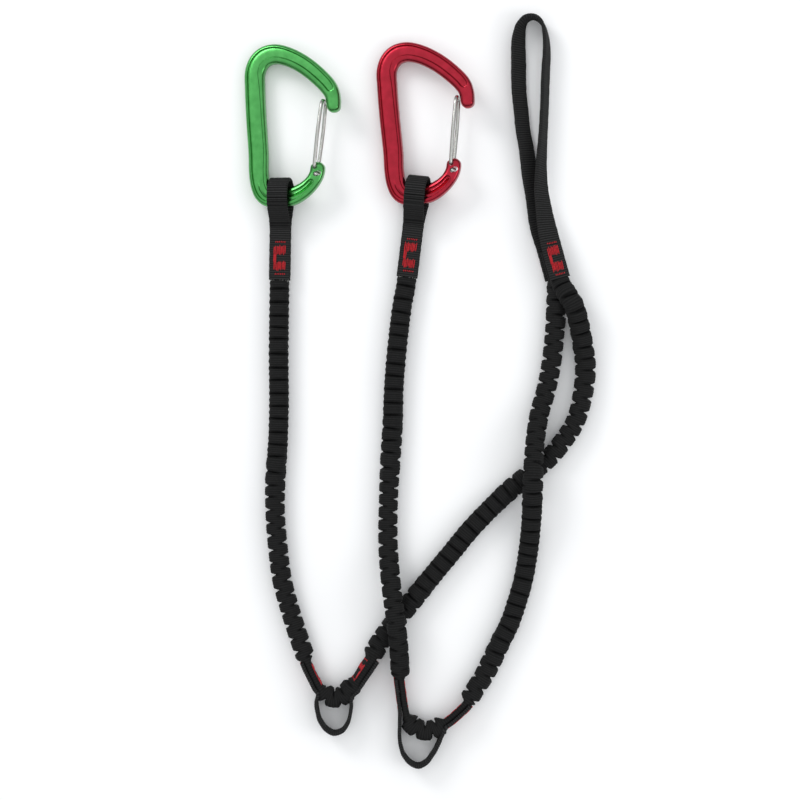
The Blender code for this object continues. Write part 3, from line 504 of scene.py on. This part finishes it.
def forged_bar(name, colour, material):
    """The bar swept along its centreline.

    Half section: z = b (1 - |x/a|^n)^(1/n) with n = SECTION_POWER, less the groove's depth
    between two walls; the mirrored half closes it.
    """
    rows = np.array(BODY_LINE)
    scale = np.array([CARABINER_WIDTH, CARABINER_HEIGHT, MM, MM, MM])
    rows = rows * scale
    line = spline(np.insert(rows, 2, 0.0, axis=1), 620)
    path, run = line[:, :3], run_of(line)
    tangent = unit(np.gradient(path, axis=0))
    outward = np.column_stack([tangent[:, 1], -tangent[:, 0], np.zeros(len(path))])
    ends = np.minimum(run, run[-1] - run)
    dome = np.sqrt(1 - (1 - np.clip(ends / END_DOME, 0.004, 1)) ** 2)
    a = line[:, 3] / 2 * (0.12 + 0.88 * dome)
    b = BAR_DEPTH / 2 + (TONGUE_DEPTH - BAR_DEPTH) / 2 * rise((run / run[-1] - 0.86) / 0.06)
    b = b * (0.05 + 0.95 * dome)
    stops = [run[np.argmin(np.linalg.norm(path[:, :2] - p * scale[:2], axis=1))]
             for p in GROOVE_ENDS]
    inside = np.clip(np.minimum(run - stops[0], stops[1] - run) / GROOVE_RUN_OUT, 0, 1)
    middle = (line[:, 5] - line[:, 4]) / 2
    half = (line[:, 3] - line[:, 4] - line[:, 5]) / 2 * np.sqrt(1 - (1 - inside) ** 2)
    k1, k2, k3, k4 = (middle - half - GROOVE_WALL, middle - half + GROOVE_WALL,
                      middle + half - GROOVE_WALL, middle + half + GROOVE_WALL)
    c2, c3 = np.minimum(k2, middle), np.maximum(k3, middle)
    outer_side = a[:, None] - between(0 * a, a - k4, 14, ease=True)[:, ::-1]
    x = np.hstack([between(-a, k1, 14, ease=True), between(k1, c2, 6), between(c2, c3, 9),
                   between(c3, k4, 6), outer_side])
    full = 1 - np.clip(np.abs(x / a[:, None]), 0, 1) ** SECTION_POWER
    z = b[:, None] * full ** (1 / SECTION_POWER)
    wide = (k2 - k1)[:, None]
    groove = (rise((x - k1[:, None]) / wide) * rise((k4[:, None] - x) / wide)
              * rise(inside / 0.25)[:, None])
    ridge = (np.exp(-((x - middle[:, None] - 0.1 * MM) / RIDGE_HALF_WIDTH) ** 2)
             * rise((run - run[-1] * 0.72) / (6 * MM))[:, None] * rise(inside / 0.9)[:, None])
    z = z - groove * (GROOVE_DEPTH - RIDGE_HEIGHT * ridge)
    x = np.hstack([x, x[:, -2:0:-1]])
    z = np.hstack([z, -z[:, -2:0:-1]])
    local = path[:, None, :] + x[..., None] * outward[:, None, :] + z[..., None] * (0, 0, 1.0)
    origin, axes = carabiner_frame(colour)
    bar = cloth_mesh(name, origin + local @ axes, material)
    cut_holes(bar, origin, axes)
    return bar


def cut_holes(bar, origin, axes):
    """Bores the two cross holes: round about the pivot, and an arc for the wire's end."""
    radius = WIRE_DIAMETER / 2 + WIRE_CLEARANCE
    turn = np.linspace(0, 2 * math.pi, 28, endpoint=False)
    circle = np.column_stack([np.cos(turn), np.sin(turn)]) * radius
    arm = LOWER_HOLE - PIVOT
    swept = np.radians(GATE_TRAVEL) * np.linspace(0, 1, 9)
    middles = PIVOT + np.column_stack([arm[0] * np.cos(swept) - arm[1] * np.sin(swept),
                                       arm[0] * np.sin(swept) + arm[1] * np.cos(swept)])
    inward = unit(PIVOT - middles)
    first = math.atan2(-inward[0, 1], -inward[0, 0])
    last = math.atan2(-inward[-1, 1], -inward[-1, 0])
    cap = np.linspace(0, math.pi, 13)[:, None]
    slot = np.vstack([
        middles[-1] + radius * np.hstack([np.cos(last + cap), np.sin(last + cap)]),
        (middles + inward * radius)[-2:0:-1],
        middles[0] + radius * np.hstack([np.cos(first + math.pi + cap),
                                         np.sin(first + math.pi + cap)]),
        (middles - inward * radius)[1:-1]])
    for outline in (PIVOT + circle, slot):
        levels = np.array([-BAR_DEPTH, BAR_DEPTH])
        grid = np.stack([np.column_stack([outline, np.full(len(outline), level)])
                         for level in levels])
        cutter = cloth_mesh("hole_cutter", origin + grid @ axes, bar.data.materials[0])
        cut = bar.modifiers.new("hole", "BOOLEAN")
        cut.solver = "EXACT"
        cut.object = cutter
        seen = bpy.context.evaluated_depsgraph_get()
        bored = bpy.data.meshes.new_from_object(bar.evaluated_get(seen))
        bar.modifiers.clear()
        bar.data = bored
        bpy.data.objects.remove(cutter)
    bar.data.shade_smooth()
    bar.data.set_sharp_from_angle(angle=math.radians(38))


def anodised(name, deep, bright):
    """Dyed oxide over bead-blasted aluminium: a coloured metal under a faint clear film."""
    material, tree, shader = new_finish(name)
    place = add(tree, "ShaderNodeTexCoord")
    cloud = add(tree, "ShaderNodeTexNoise", {"Vector": place.outputs["Object"],
                                             "Scale": 260.0, "Detail": 3.0})
    tone = add(tree, "ShaderNodeMix", {"Factor": cloud.outputs["Fac"], "A": tint(deep),
                                       "B": tint(bright)}, data_type="RGBA")
    blast = add(tree, "ShaderNodeTexNoise", {"Vector": place.outputs["Object"],
                                             "Scale": 4200.0, "Detail": 2.0})
    bump = add(tree, "ShaderNodeBump", {"Strength": 0.05, "Distance": 0.05 * MM,
                                        "Height": blast.outputs["Fac"]})
    gloss = add(tree, "ShaderNodeMapRange", {"Value": cloud.outputs["Fac"], "To Min": 0.20,
                                             "To Max": 0.30})
    tree.links.new(tone.outputs["Result"], shader.inputs["Base Color"])
    tree.links.new(bump.outputs["Normal"], shader.inputs["Normal"])
    tree.links.new(gloss.outputs["Result"], shader.inputs["Roughness"])
    shader.inputs["Metallic"].default_value = 1.0
    shader.inputs["Coat Weight"].default_value = 0.25
    shader.inputs["Coat Roughness"].default_value = 0.12
    return material


for colour, deep, bright in (("green", "3a8a40", "5aac5e"), ("red", "8c1624", "b02438")):
    finish = anodised(colour + "_anodised_aluminium", deep, bright)
    bar = forged_bar(colour + "_forged_bar", colour, finish)
    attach(bar, colour + "_carabiner")
    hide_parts(colour + "_carabiner_body")

# Wire gates ----------------------------------------------------------------------------
# One piece of bright drawn stainless wire, bent round the nose and pegged by its two ends
# into the tongue, where its own twist springs it shut.
WIRE_RADIUS = WIRE_DIAMETER / 2
NOSE_WIDTH = 6.8 * MM
NOSE_EASE = 0.5 * MM
GATE_BOW = 1.0 * MM
GATE_TIP = np.array([0.672 * CARABINER_WIDTH - NOSE_WIDTH / 2 - WIRE_CLEARANCE - WIRE_RADIUS
                     - NOSE_EASE, 0.658 * CARABINER_HEIGHT])


def wire_line():
    """The wire's middle line from the upper hole round the nose to the lower hole."""
    leg = TONGUE_DEPTH / 2 + WIRE_CLEARANCE + WIRE_RADIUS
    bend = 1.1 * WIRE_DIAMETER
    reach = GATE_TIP - PIVOT
    corner = bend / np.linalg.norm(reach)
    low = LOWER_HOLE - PIVOT
    front = [(0.0, leg - 0.6 * bend), (0.2 * corner, leg - 0.17 * bend), (0.9 * corner, leg),
             (0.22, leg + 0.45 * GATE_BOW), (0.5, leg + GATE_BOW),
             (0.78, leg + 0.45 * GATE_BOW), (1 - corner, leg - 0.12 * bend),
             (1 - 0.25 * corner, leg - 0.75 * bend), (1.0, leg - 1.5 * bend)]
    back = [(s, -w) for s, w in front[:2:-1]]
    rows = [(0.0, 0.0, 0.2 * TONGUE_DEPTH)]
    rows += [(*(reach * s), w) for s, w in front + back]
    rows += [(0.0, 0.0, -leg), (low[0], low[1] + 0.9 * bend, -leg),
             (low[0], low[1] + 0.2 * bend, -leg + 0.17 * bend),
             (low[0], low[1], -leg + 0.6 * bend), (low[0], low[1], TONGUE_DEPTH / 2)]
    return np.array(rows)


stainless, tree, shader = new_finish("drawn_stainless_wire")
place = add(tree, "ShaderNodeUVMap", uv_map="run")
long_way = add(tree, "ShaderNodeMapping", {"Vector": place.outputs["UV"],
                                           "Scale": (0.04, 1.0, 1.0)})
draw_marks = add(tree, "ShaderNodeTexNoise", {"Vector": long_way.outputs["Vector"],
                                              "Scale": 5200.0, "Detail": 3.0})
bump = add(tree, "ShaderNodeBump", {"Strength": 0.12, "Distance": 0.05 * MM,
                                    "Height": draw_marks.outputs["Fac"]})
gloss = add(tree, "ShaderNodeMapRange", {"Value": draw_marks.outputs["Fac"],
                                         "To Min": 0.16, "To Max": 0.34})
tree.links.new(bump.outputs["Normal"], shader.inputs["Normal"])
tree.links.new(gloss.outputs["Result"], shader.inputs["Roughness"])
shader.inputs["Base Color"].default_value = tint("b8b8b4")
shader.inputs["Metallic"].default_value = 1.0

for colour in ("green", "red"):
    origin, axes = carabiner_frame(colour)
    path = spline(wire_line(), 420)
    tangent = unit(np.gradient(path, axis=0))
    side = unit(np.cross(tangent, unit(np.array([GATE_TIP[1] - PIVOT[1],
                                                 PIVOT[0] - GATE_TIP[0], 0.0]))))
    other = np.cross(side, tangent)
    turn = np.linspace(0, 2 * math.pi, 24, endpoint=False)
    ring = WIRE_RADIUS * (np.cos(turn)[None, :, None] * other[:, None, :]
                          + np.sin(turn)[None, :, None] * side[:, None, :])
    local = path[:, None, :] + ring + (*PIVOT, 0.0)
    wire = cloth_mesh(colour + "_bent_wire", origin + local @ axes, stainless)
    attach(wire, colour + "_gate")
    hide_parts(colour + "_wire_gate")

# Slings and loops ----------------------------------------------------------------------
# Flat nylon webbing, woven with cross ribs and hot-cut to length: a short sling doubled
# over each carabiner, a loop sewn along each arm, and one long loop over the arms' ends.
TAPE_WIDTH = 10.5 * MM
TAPE_THICK = 1.8 * MM
GAP = 0.3 * MM
TABLE_LIFT = 0.2 * MM
SEWN_SLEEVE_THICK = 2.8 * MM
SEWN_STACK_THICK = SEWN_SLEEVE_THICK + 2 * (GAP + TAPE_THICK)
RIB = 1.15 * MM
RIB_HEIGHT = 0.15 * MM
CREASE_PITCH = 1.9 * MM
CREASE_HEIGHT = 0.22 * MM
# Where the upper leg of a sling is creased: how far before its eye, and over what length.
SLING_CREASES = ((13.5 * MM, 8 * MM), (27 * MM, 6 * MM))
SLING_EYE_RADIUS = 5.91 * MM
SLING_EYE_REACH = 2.0 * MM
SLING_SEWN_LENGTH = 23.5 * MM
SLING_ROLL = math.radians(12.0)
SLING_ROLL_KEPT = 0.25
SLING_ENDS = {"green": (-62.7, 55.0), "red": (1.0, 56.5)}
CLIP_BOWS = {
    "green": [(-44.3, -156), (-43.7, -160.5), (-42.4, -165), (-39.6, -169),
              (-35.6, -171.2), (-31.6, -170.2), (-28.7, -166.6), (-27.4, -162),
              (-26.8, -157.5)],
    "red": [(-2.6, -165), (-2.8, -172.5), (-2.2, -177.5), (-0.6, -182.2), (2.6, -186),
            (6.8, -187.6), (10.4, -186), (13.6, -182), (16.4, -177), (18.6, -172)],
}
# Numbered points of each arm's route between which its clip loop is sewn down.
CLIP_SEWN = {"green": (14, 16, 19, 22), "red": (14, 16, 21, 23)}
# The long loop: its middle line, and how far its outer face has turned from facing up.
TIE_IN_ROUTE = [
    (77.2, 55.5, 10.6, 15), (74.8, 64, 10.6, 15), (72.5, 72.5, 10.6, 15),
    (70.6, 81, 9.8, 24), (69.2, 90, 8.6, 38), (68, 100, 7.5, 48), (68, 111, 6.5, 58),
    (68.8, 125, 5.9, 66), (69.6, 140, 5.9, 68), (70.2, 157.5, 5.9, 68),
    (70.8, 170, 5.9, 71), (70, 179, 5.9, 77), (68, 184, 5.9, 84), (65, 186.2, 5.8, 88),
    (62.5, 186.2, 5.8, 94), (59.8, 184.8, 5.7, 104), (57.8, 181, 5.5, 118),
    (56.8, 175, 5.2, 130), (56.8, 165, 5.0, 135), (57, 150, 5.0, 135),
    (58, 140, 5.0, 135), (59, 130, 5.0, 135), (60.8, 120, 4.9, 137),
    (62.5, 107.5, 4.6, 142), (65, 95, 4.0, 150), (66.8, 84, 3.3, 158),
    (68.8, 77, 2.8, 163), (70.4, 72.5, 2.6, 165), (72.8, 64, 2.6, 165),
    (75.1, 55.5, 2.6, 165),
]
# Colours: painted shade in the creases, the black on the crests, painted highlight on the ribs.
webbing = woven_nylon("flat_nylon_webbing_black", RIB, "050505", "1d1d1d", "404040")


def read_rows(run, rows, at):
    """Each column of rows, read at other distances along the same run."""
    return np.stack([np.interp(at, run, rows[:, k]) for k in range(rows.shape[1])], axis=-1)


def strip_of(centres, wides, step=0.26 * MM):
    """Even frames along a tape: run, centre, width direction and outward normal."""
    run = run_of(centres)
    at = np.linspace(0, run[-1], int(run[-1] / step))
    centre = read_rows(run, centres, at)
    tangent = unit(np.gradient(centre, axis=0))
    wide = read_rows(run, wides, at)
    wide = unit(wide - tangent * np.sum(wide * tangent, axis=1, keepdims=True))
    return at, centre, wide, np.cross(wide, tangent)


def flat_webbing(name, strip, seed, creases=()):
    """A tape with round selvages, its section a box between two half circles.

    Ribs stand RIB_HEIGHT |sin(pi s / RIB)| proud, and creases, (run, length) pairs, add a
    ripple.
    """
    run, centre, wide, normal = strip
    at = run[:, None]
    edge = TAPE_WIDTH / 2 - TAPE_THICK / 2
    across = np.linspace(-edge, edge, 13)
    arc = np.linspace(-math.pi / 2, math.pi / 2, 9)[1:-1]
    half = TAPE_THICK / 2 - 0.05 * MM
    x = np.concatenate([across, edge + half * np.cos(arc), across[::-1],
                        -edge - half * np.cos(arc)])[None, :]
    y = np.concatenate([across * 0 - half, half * np.sin(arc), across * 0 + half,
                        -half * np.sin(arc)])[None, :]
    rib = np.abs(np.sin(math.pi * (at / RIB + 0.12 * wander(at, seed, 17 * MM))))
    swell = 1 + RIB_HEIGHT / half * (rib - 0.5)
    side = 0.10 * MM * wander(at, seed + 3, 6 * MM) * np.sign(x) + 0.06 * MM * rib * np.sign(x)
    bend = np.zeros_like(at)
    for middle, length in creases:
        near = np.clip(1 - np.abs(at - middle) / (length / 2), 0, 1)
        waved = np.cos(2 * math.pi * (at - middle) / CREASE_PITCH)
        bend = bend + CREASE_HEIGHT * rise(near * 2) * waved
    waves = 0.07 * MM * wander(at, seed + 7, 13 * MM)
    grid = (centre[:, None, :] + (x + side)[..., None] * wide[:, None, :]
            + (y * swell + bend + waves)[..., None] * normal[:, None, :])
    # Painted shade: lower between the ribs and in the troughs of the creases, so the colour
    # darkens there and the painted highlight keeps to the rib backs.
    value = 0.35 + 0.65 * rib + np.clip(bend / CREASE_HEIGHT, -1, 0) * 0.5 + 0 * x
    tape = cloth_mesh(name, grid, webbing, np.clip(value, 0, 1))
    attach(tape, "leash")
    return tape


def sling_strip(colour):
    """From one cut end up over the basket bar and back under it to the other."""
    origin = carabiner_frame(colour)[0]
    bar, end = origin[:2], np.array(SLING_ENDS[colour]) * MM
    away = unit(bar - end)
    start = end + away * SLING_SEWN_LENGTH
    outer = SLING_EYE_RADIUS + TAPE_THICK
    past = bar + away * (SLING_EYE_REACH + outer)
    flat = spline([past, bar, (bar + start) / 2, start, (start + end) / 2, end], 600)
    run = run_of(flat) - run_of(flat)[np.argmin(np.linalg.norm(flat - bar, axis=1))]
    ahead = np.gradient(flat, axis=0)
    sewn_run = run[-1] - SLING_SEWN_LENGTH
    spread = (outer + SLING_EYE_RADIUS) / 2
    closed = (SEWN_STACK_THICK - TAPE_THICK) / 2
    leg = np.linspace(0.5 * MM, run[-1], 260)
    apart = spread + (closed - spread) * rise(leg / (0.86 * sewn_run))
    turn = np.linspace(0, math.pi, 90)
    at = np.concatenate([leg[::-1], -SLING_EYE_REACH - spread * np.sin(turn), leg])
    offset = np.concatenate([apart[::-1], spread * np.cos(turn), -apart])[:, None]
    blend = rise((at / sewn_run - SLING_ROLL_KEPT) / (1 - SLING_ROLL_KEPT))
    roll = (SLING_ROLL * (1 - blend))[:, None]
    height = origin[2] + (SEWN_HEIGHT - origin[2]) * blend
    ahead = unit(read_rows(run, ahead, at))
    side = np.column_stack([-ahead[:, 1], ahead[:, 0], 0 * at])
    up = np.array([0.0, 0.0, 1.0])
    middle = np.column_stack([read_rows(run, flat, at), height])
    centre = middle + offset * (np.cos(roll) * up - np.sin(roll) * side)
    return strip_of(centre, np.cos(roll) * side + np.sin(roll) * up)


def arm_strip(route, turns):
    """The arm's own frames, and the run at each numbered point of its route."""
    path, run, marks, wide, normal = arm_frames(route, turns, 1600)
    return (run, path, wide, normal), marks


def clip_strip(colour, arm, marks):
    """Along the arm, round the free loop on edge, and along the arm again."""
    run, path, wide, normal = arm
    offset = SEWN_SLEEVE_THICK / 2 + GAP + TAPE_THICK / 2
    upright = TAPE_WIDTH / 2 + TABLE_LIFT
    first, second, third, last = (marks[k] for k in CLIP_SEWN[colour])
    rows = []
    for near, far in ((first, second), (third, last)):
        at = np.linspace(near, far, 8)
        rows.append(np.hstack([read_rows(run, path + offset * normal, at),
                               read_rows(run, wide, at)]))
    bow = np.array([(x * MM, y * MM, upright, 0, 0, -1) for x, y in CLIP_BOWS[colour]])
    line = spline(np.vstack([rows[0], bow, rows[1]]), 600)
    return strip_of(line[:, :3], line[:, 3:])


strips = {}
arms = {}
for colour, route, turns, seed in (("green", GREEN_ROUTE, GREEN_TURNS, 3),
                                   ("red", RED_ROUTE, RED_TURNS, 8)):
    strips[colour] = sling_strip(colour)
    eye = strips[colour][0][-1] / 2
    sling = flat_webbing(colour + "_doubled_sling", strips[colour], seed,
                         [(eye - before, length) for before, length in SLING_CREASES])
    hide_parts(colour + "_carabiner_sling")
    arms[colour] = arm_strip(route, turns)
    strips[colour + "_clip"] = clip_strip(colour, *arms[colour])
    loop = flat_webbing(colour + "_sewn_clip_loop", strips[colour + "_clip"], seed + 1)
    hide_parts(colour + "_clip_loop")
line = spline(np.array(TIE_IN_ROUTE) * (MM, MM, MM, 1.0), 1200)
wide, normal = turned_frames(line[:, :3], line[:, 3])
strips["tie_in"] = strip_of(line[:, :3], wide)
loop = flat_webbing("long_tie_in_loop", strips["tie_in"], 17)
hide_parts("tie_in_loop")

# Bartacks ------------------------------------------------------------------------------
# Red bonded polyester thread, sewn to and fro in two dense blocks with a narrow link, with
# a row of single stitches beyond each block, right through the webbing and the sleeve.
BLOCK = 4.6 * MM
LINK = 3.4 * MM
BLOCK_WIDTH = 6.4 * MM
THREAD_RADIUS = 0.25 * MM
# Between neighbouring threads, and how raggedly they end.
BLOCK_THREADS = (0.68 * MM, 0.50 * MM)
LINK_THREADS = (0.50 * MM, 0.30 * MM)
ROW_THREADS = (0.90 * MM, 0.12 * MM)
ROW_NEAR = 1.35 * MM          # the single stitches beyond a block start and end this far off
ROW_FAR = 2.0 * MM


def strands(name, lines, normals, radius, material, taper=0.2):
    """Many short closed threads in one mesh, each thinning to its two buried ends."""
    count, length = lines.shape[:2]
    sides = 7
    tangent = unit(np.gradient(lines, axis=1))
    side = unit(np.cross(tangent, normals))
    up = np.cross(side, tangent)
    turn = np.linspace(0, 2 * math.pi, sides, endpoint=False)
    share = np.linspace(-1, 1, length)
    swell = (radius * (taper + (1 - taper) * np.sqrt(1 - np.abs(share) ** 5)))[:, None, None]
    ring = swell * (np.cos(turn)[:, None] * side[:, :, None, :]
                    + np.sin(turn)[:, None] * up[:, :, None, :])
    points = lines[:, :, None, :] + ring
    index = np.arange(count * length * sides).reshape(count, length, sides)
    beside = np.roll(index, -1, axis=2)
    quads = np.stack([index[:, :-1], beside[:, :-1], beside[:, 1:], index[:, 1:]], -1)
    ends = np.concatenate([index[:, 0, ::-1], index[:, -1]])
    corners = np.concatenate([quads.reshape(-1), ends.reshape(-1)])
    sizes = np.concatenate([np.full(quads.size // 4, 4), np.full(len(ends), sides)])
    made = set_out(mesh_of(name, points, corners, sizes), material)
    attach(made, "leash")
    return made


thread, tree, shader = new_finish("bonded_polyester_thread_red")
place = add(tree, "ShaderNodeTexCoord")
ply = add(tree, "ShaderNodeTexWave", {"Vector": place.outputs["Object"], "Scale": 900.0,
                                      "Distortion": 3.0, "Detail": 2.0},
          bands_direction="DIAGONAL")
fuzz = add(tree, "ShaderNodeTexNoise", {"Vector": place.outputs["Object"],
                                        "Scale": 1500.0, "Detail": 2.0})
mixed = add(tree, "ShaderNodeMix", {"Factor": fuzz.outputs["Fac"], "A": tint("7c0d14"),
                                    "B": tint("dc2a34")}, data_type="RGBA")
bump = add(tree, "ShaderNodeBump", {"Strength": 0.5, "Distance": 0.1 * MM,
                                    "Height": ply.outputs["Fac"]})
tree.links.new(mixed.outputs["Result"], shader.inputs["Base Color"])
tree.links.new(bump.outputs["Normal"], shader.inputs["Normal"])
shader.inputs["Roughness"].default_value = 0.55
shader.inputs["Specular IOR Level"].default_value = 0.25


def bartack(name, strip, start, face, seed, facing=1):
    """Threads that run along the strip, side by side: two blocks, a link and two rows."""
    run, centre, wide, normal = strip
    noise = np.random.default_rng(seed)
    half = BLOCK_WIDTH / 2
    second = start + BLOCK + LINK

    def row(first, last, low, high, pitch, ragged):
        places = np.arange(low + pitch / 2, high, pitch)
        loose = noise.uniform(-1, 1, (3, len(places))) * ragged
        return np.stack([first + loose[0], last + loose[1],
                         places + 0.2 * loose[2], places + 0.25 * pitch + 0.2 * loose[2]])

    ends = np.hstack([
        row(start, start + BLOCK, -half, half, *BLOCK_THREADS),
        row(second, second + BLOCK, -half, half, *BLOCK_THREADS),
        row(start + BLOCK * 0.8, second + BLOCK * 0.2, -half, -half * 0.5, *LINK_THREADS),
        row(start - ROW_FAR, start - ROW_NEAR, -half * 0.8, half, *ROW_THREADS),
        row(second + BLOCK + ROW_NEAR, second + BLOCK + ROW_FAR, -half * 0.8, half,
            *ROW_THREADS)])
    share = np.linspace(0, 1, 9)
    at = ends[0][:, None] + (ends[1] - ends[0])[:, None] * share
    across = ends[2][:, None] + (ends[3] - ends[2])[:, None] * share
    hump = 1 - np.abs(2 * share - 1) ** 3
    lift = face + (0.5 * hump - 0.30) * THREAD_RADIUS * 2 * (
        1 + 0.15 * noise.uniform(-1, 1, (len(at), 1)))
    out = facing * read_rows(run, normal, at)
    lines = (read_rows(run, centre, at) + across[..., None] * read_rows(run, wide, at)
             + lift[..., None] * out)
    stitches = strands(name, lines, out, THREAD_RADIUS, thread)
    return stitches


TACK = 2 * BLOCK + LINK
SLING_TACK_START = 4.5 * MM
LOOP_TACK_START = 1.2 * MM
TIE_TACK_START = 3.8 * MM
TAPE_FACE = TAPE_THICK / 2
STITCH_SINK = 0.22 * MM       # how far tight thread is pulled in along the clip loops
SUNK_FACE = TAPE_FACE - STITCH_SINK
SUNK_SLEEVE = SEWN_HALF_THICK - STITCH_SINK
seed = 100
for colour in ("green", "red"):
    sling = strips[colour]
    loop = strips[colour + "_clip"]
    arm, marks = arms[colour]
    first, second, third, last = (marks[k] for k in CLIP_SEWN[colour])
    for label, strip, start, face, facing in (
            ("_sling_bartack_front", sling, SLING_TACK_START, TAPE_FACE, 1),
            ("_sling_bartack_back", sling, sling[0][-1] - SLING_TACK_START - TACK,
             TAPE_FACE, 1),
            ("_clip_bartack_upper_outer", loop, LOOP_TACK_START, SUNK_FACE, 1),
            ("_clip_bartack_lower_outer", loop, loop[0][-1] - TACK - LOOP_TACK_START,
             SUNK_FACE, 1),
            ("_clip_bartack_upper_inner", arm, (first + second - TACK) / 2,
             SUNK_SLEEVE, -1),
            ("_clip_bartack_lower_inner", arm, (third + last - TACK) / 2,
             SUNK_SLEEVE, -1)):
        stitches = bartack(colour + label.replace("bartack", "stitches"), strip, start,
                           face, seed, facing)
        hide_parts(colour + label)
        seed += 1
for label, start in (("front", TIE_TACK_START),
                     ("back", strips["tie_in"][0][-1] - TIE_TACK_START - TACK)):
    stitches = bartack("tie_in_stitches_" + label, strips["tie_in"], start, TAPE_FACE, seed)
    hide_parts("tie_in_bartack_" + label)
    seed += 1

# Cut ends of the slings ----------------------------------------------------------------
# Where the nylon tape was cut to length its yarns stand out as short pale fibres.
FIBRE_RADIUS = 0.07 * MM
fibre, tree, shader = new_finish("cut_nylon_fibres_grey")
place = add(tree, "ShaderNodeTexCoord")
mottle = add(tree, "ShaderNodeTexNoise", {"Vector": place.outputs["Object"],
                                          "Scale": 2500.0, "Detail": 1.0})
mixed = add(tree, "ShaderNodeMix", {"Factor": mottle.outputs["Fac"], "A": tint("4a4a48"),
                                    "B": tint("a4a4a0")}, data_type="RGBA")
tree.links.new(mixed.outputs["Result"], shader.inputs["Base Color"])
shader.inputs["Roughness"].default_value = 0.8


def cut_fibres(name, strip, seed, count=46):
    """Short fibres that lean out of a tape's first cut end at small random angles."""
    centre, wide, normal = strip[1:]
    noise = np.random.default_rng(seed)
    out = -unit(centre[3:4] - centre[0:1])[0]
    x = noise.uniform(-0.45, 0.45, count) * TAPE_WIDTH
    y = noise.uniform(-0.35, 0.40, count) * TAPE_THICK
    root = centre[0] - 0.3 * MM * out + x[:, None] * wide[0] + y[:, None] * normal[0]
    reach = noise.uniform(0.55, 1.15, count) * MM
    reach[noise.integers(0, count, 4)] *= 1.7
    lean = noise.normal(0, 0.28, (2, count))
    share = np.linspace(0, 1, 5)[None, :, None]
    way = out + lean[0][:, None] * wide[0] + lean[1][:, None] * normal[0]
    lines = (root[:, None, :] + share * (reach[:, None] * way)[:, None, :]
             + share ** 2 * (0.2 * MM * noise.normal(0, 1, (count, 1)) * wide[0])[:, None, :])
    return strands(name, lines, np.broadcast_to(normal[0], lines.shape), FIBRE_RADIUS, fibre)


for colour, seed in (("green", 61), ("red", 62)):
    frayed = cut_fibres(colour + "_sling_cut_fibres", strips[colour], seed)
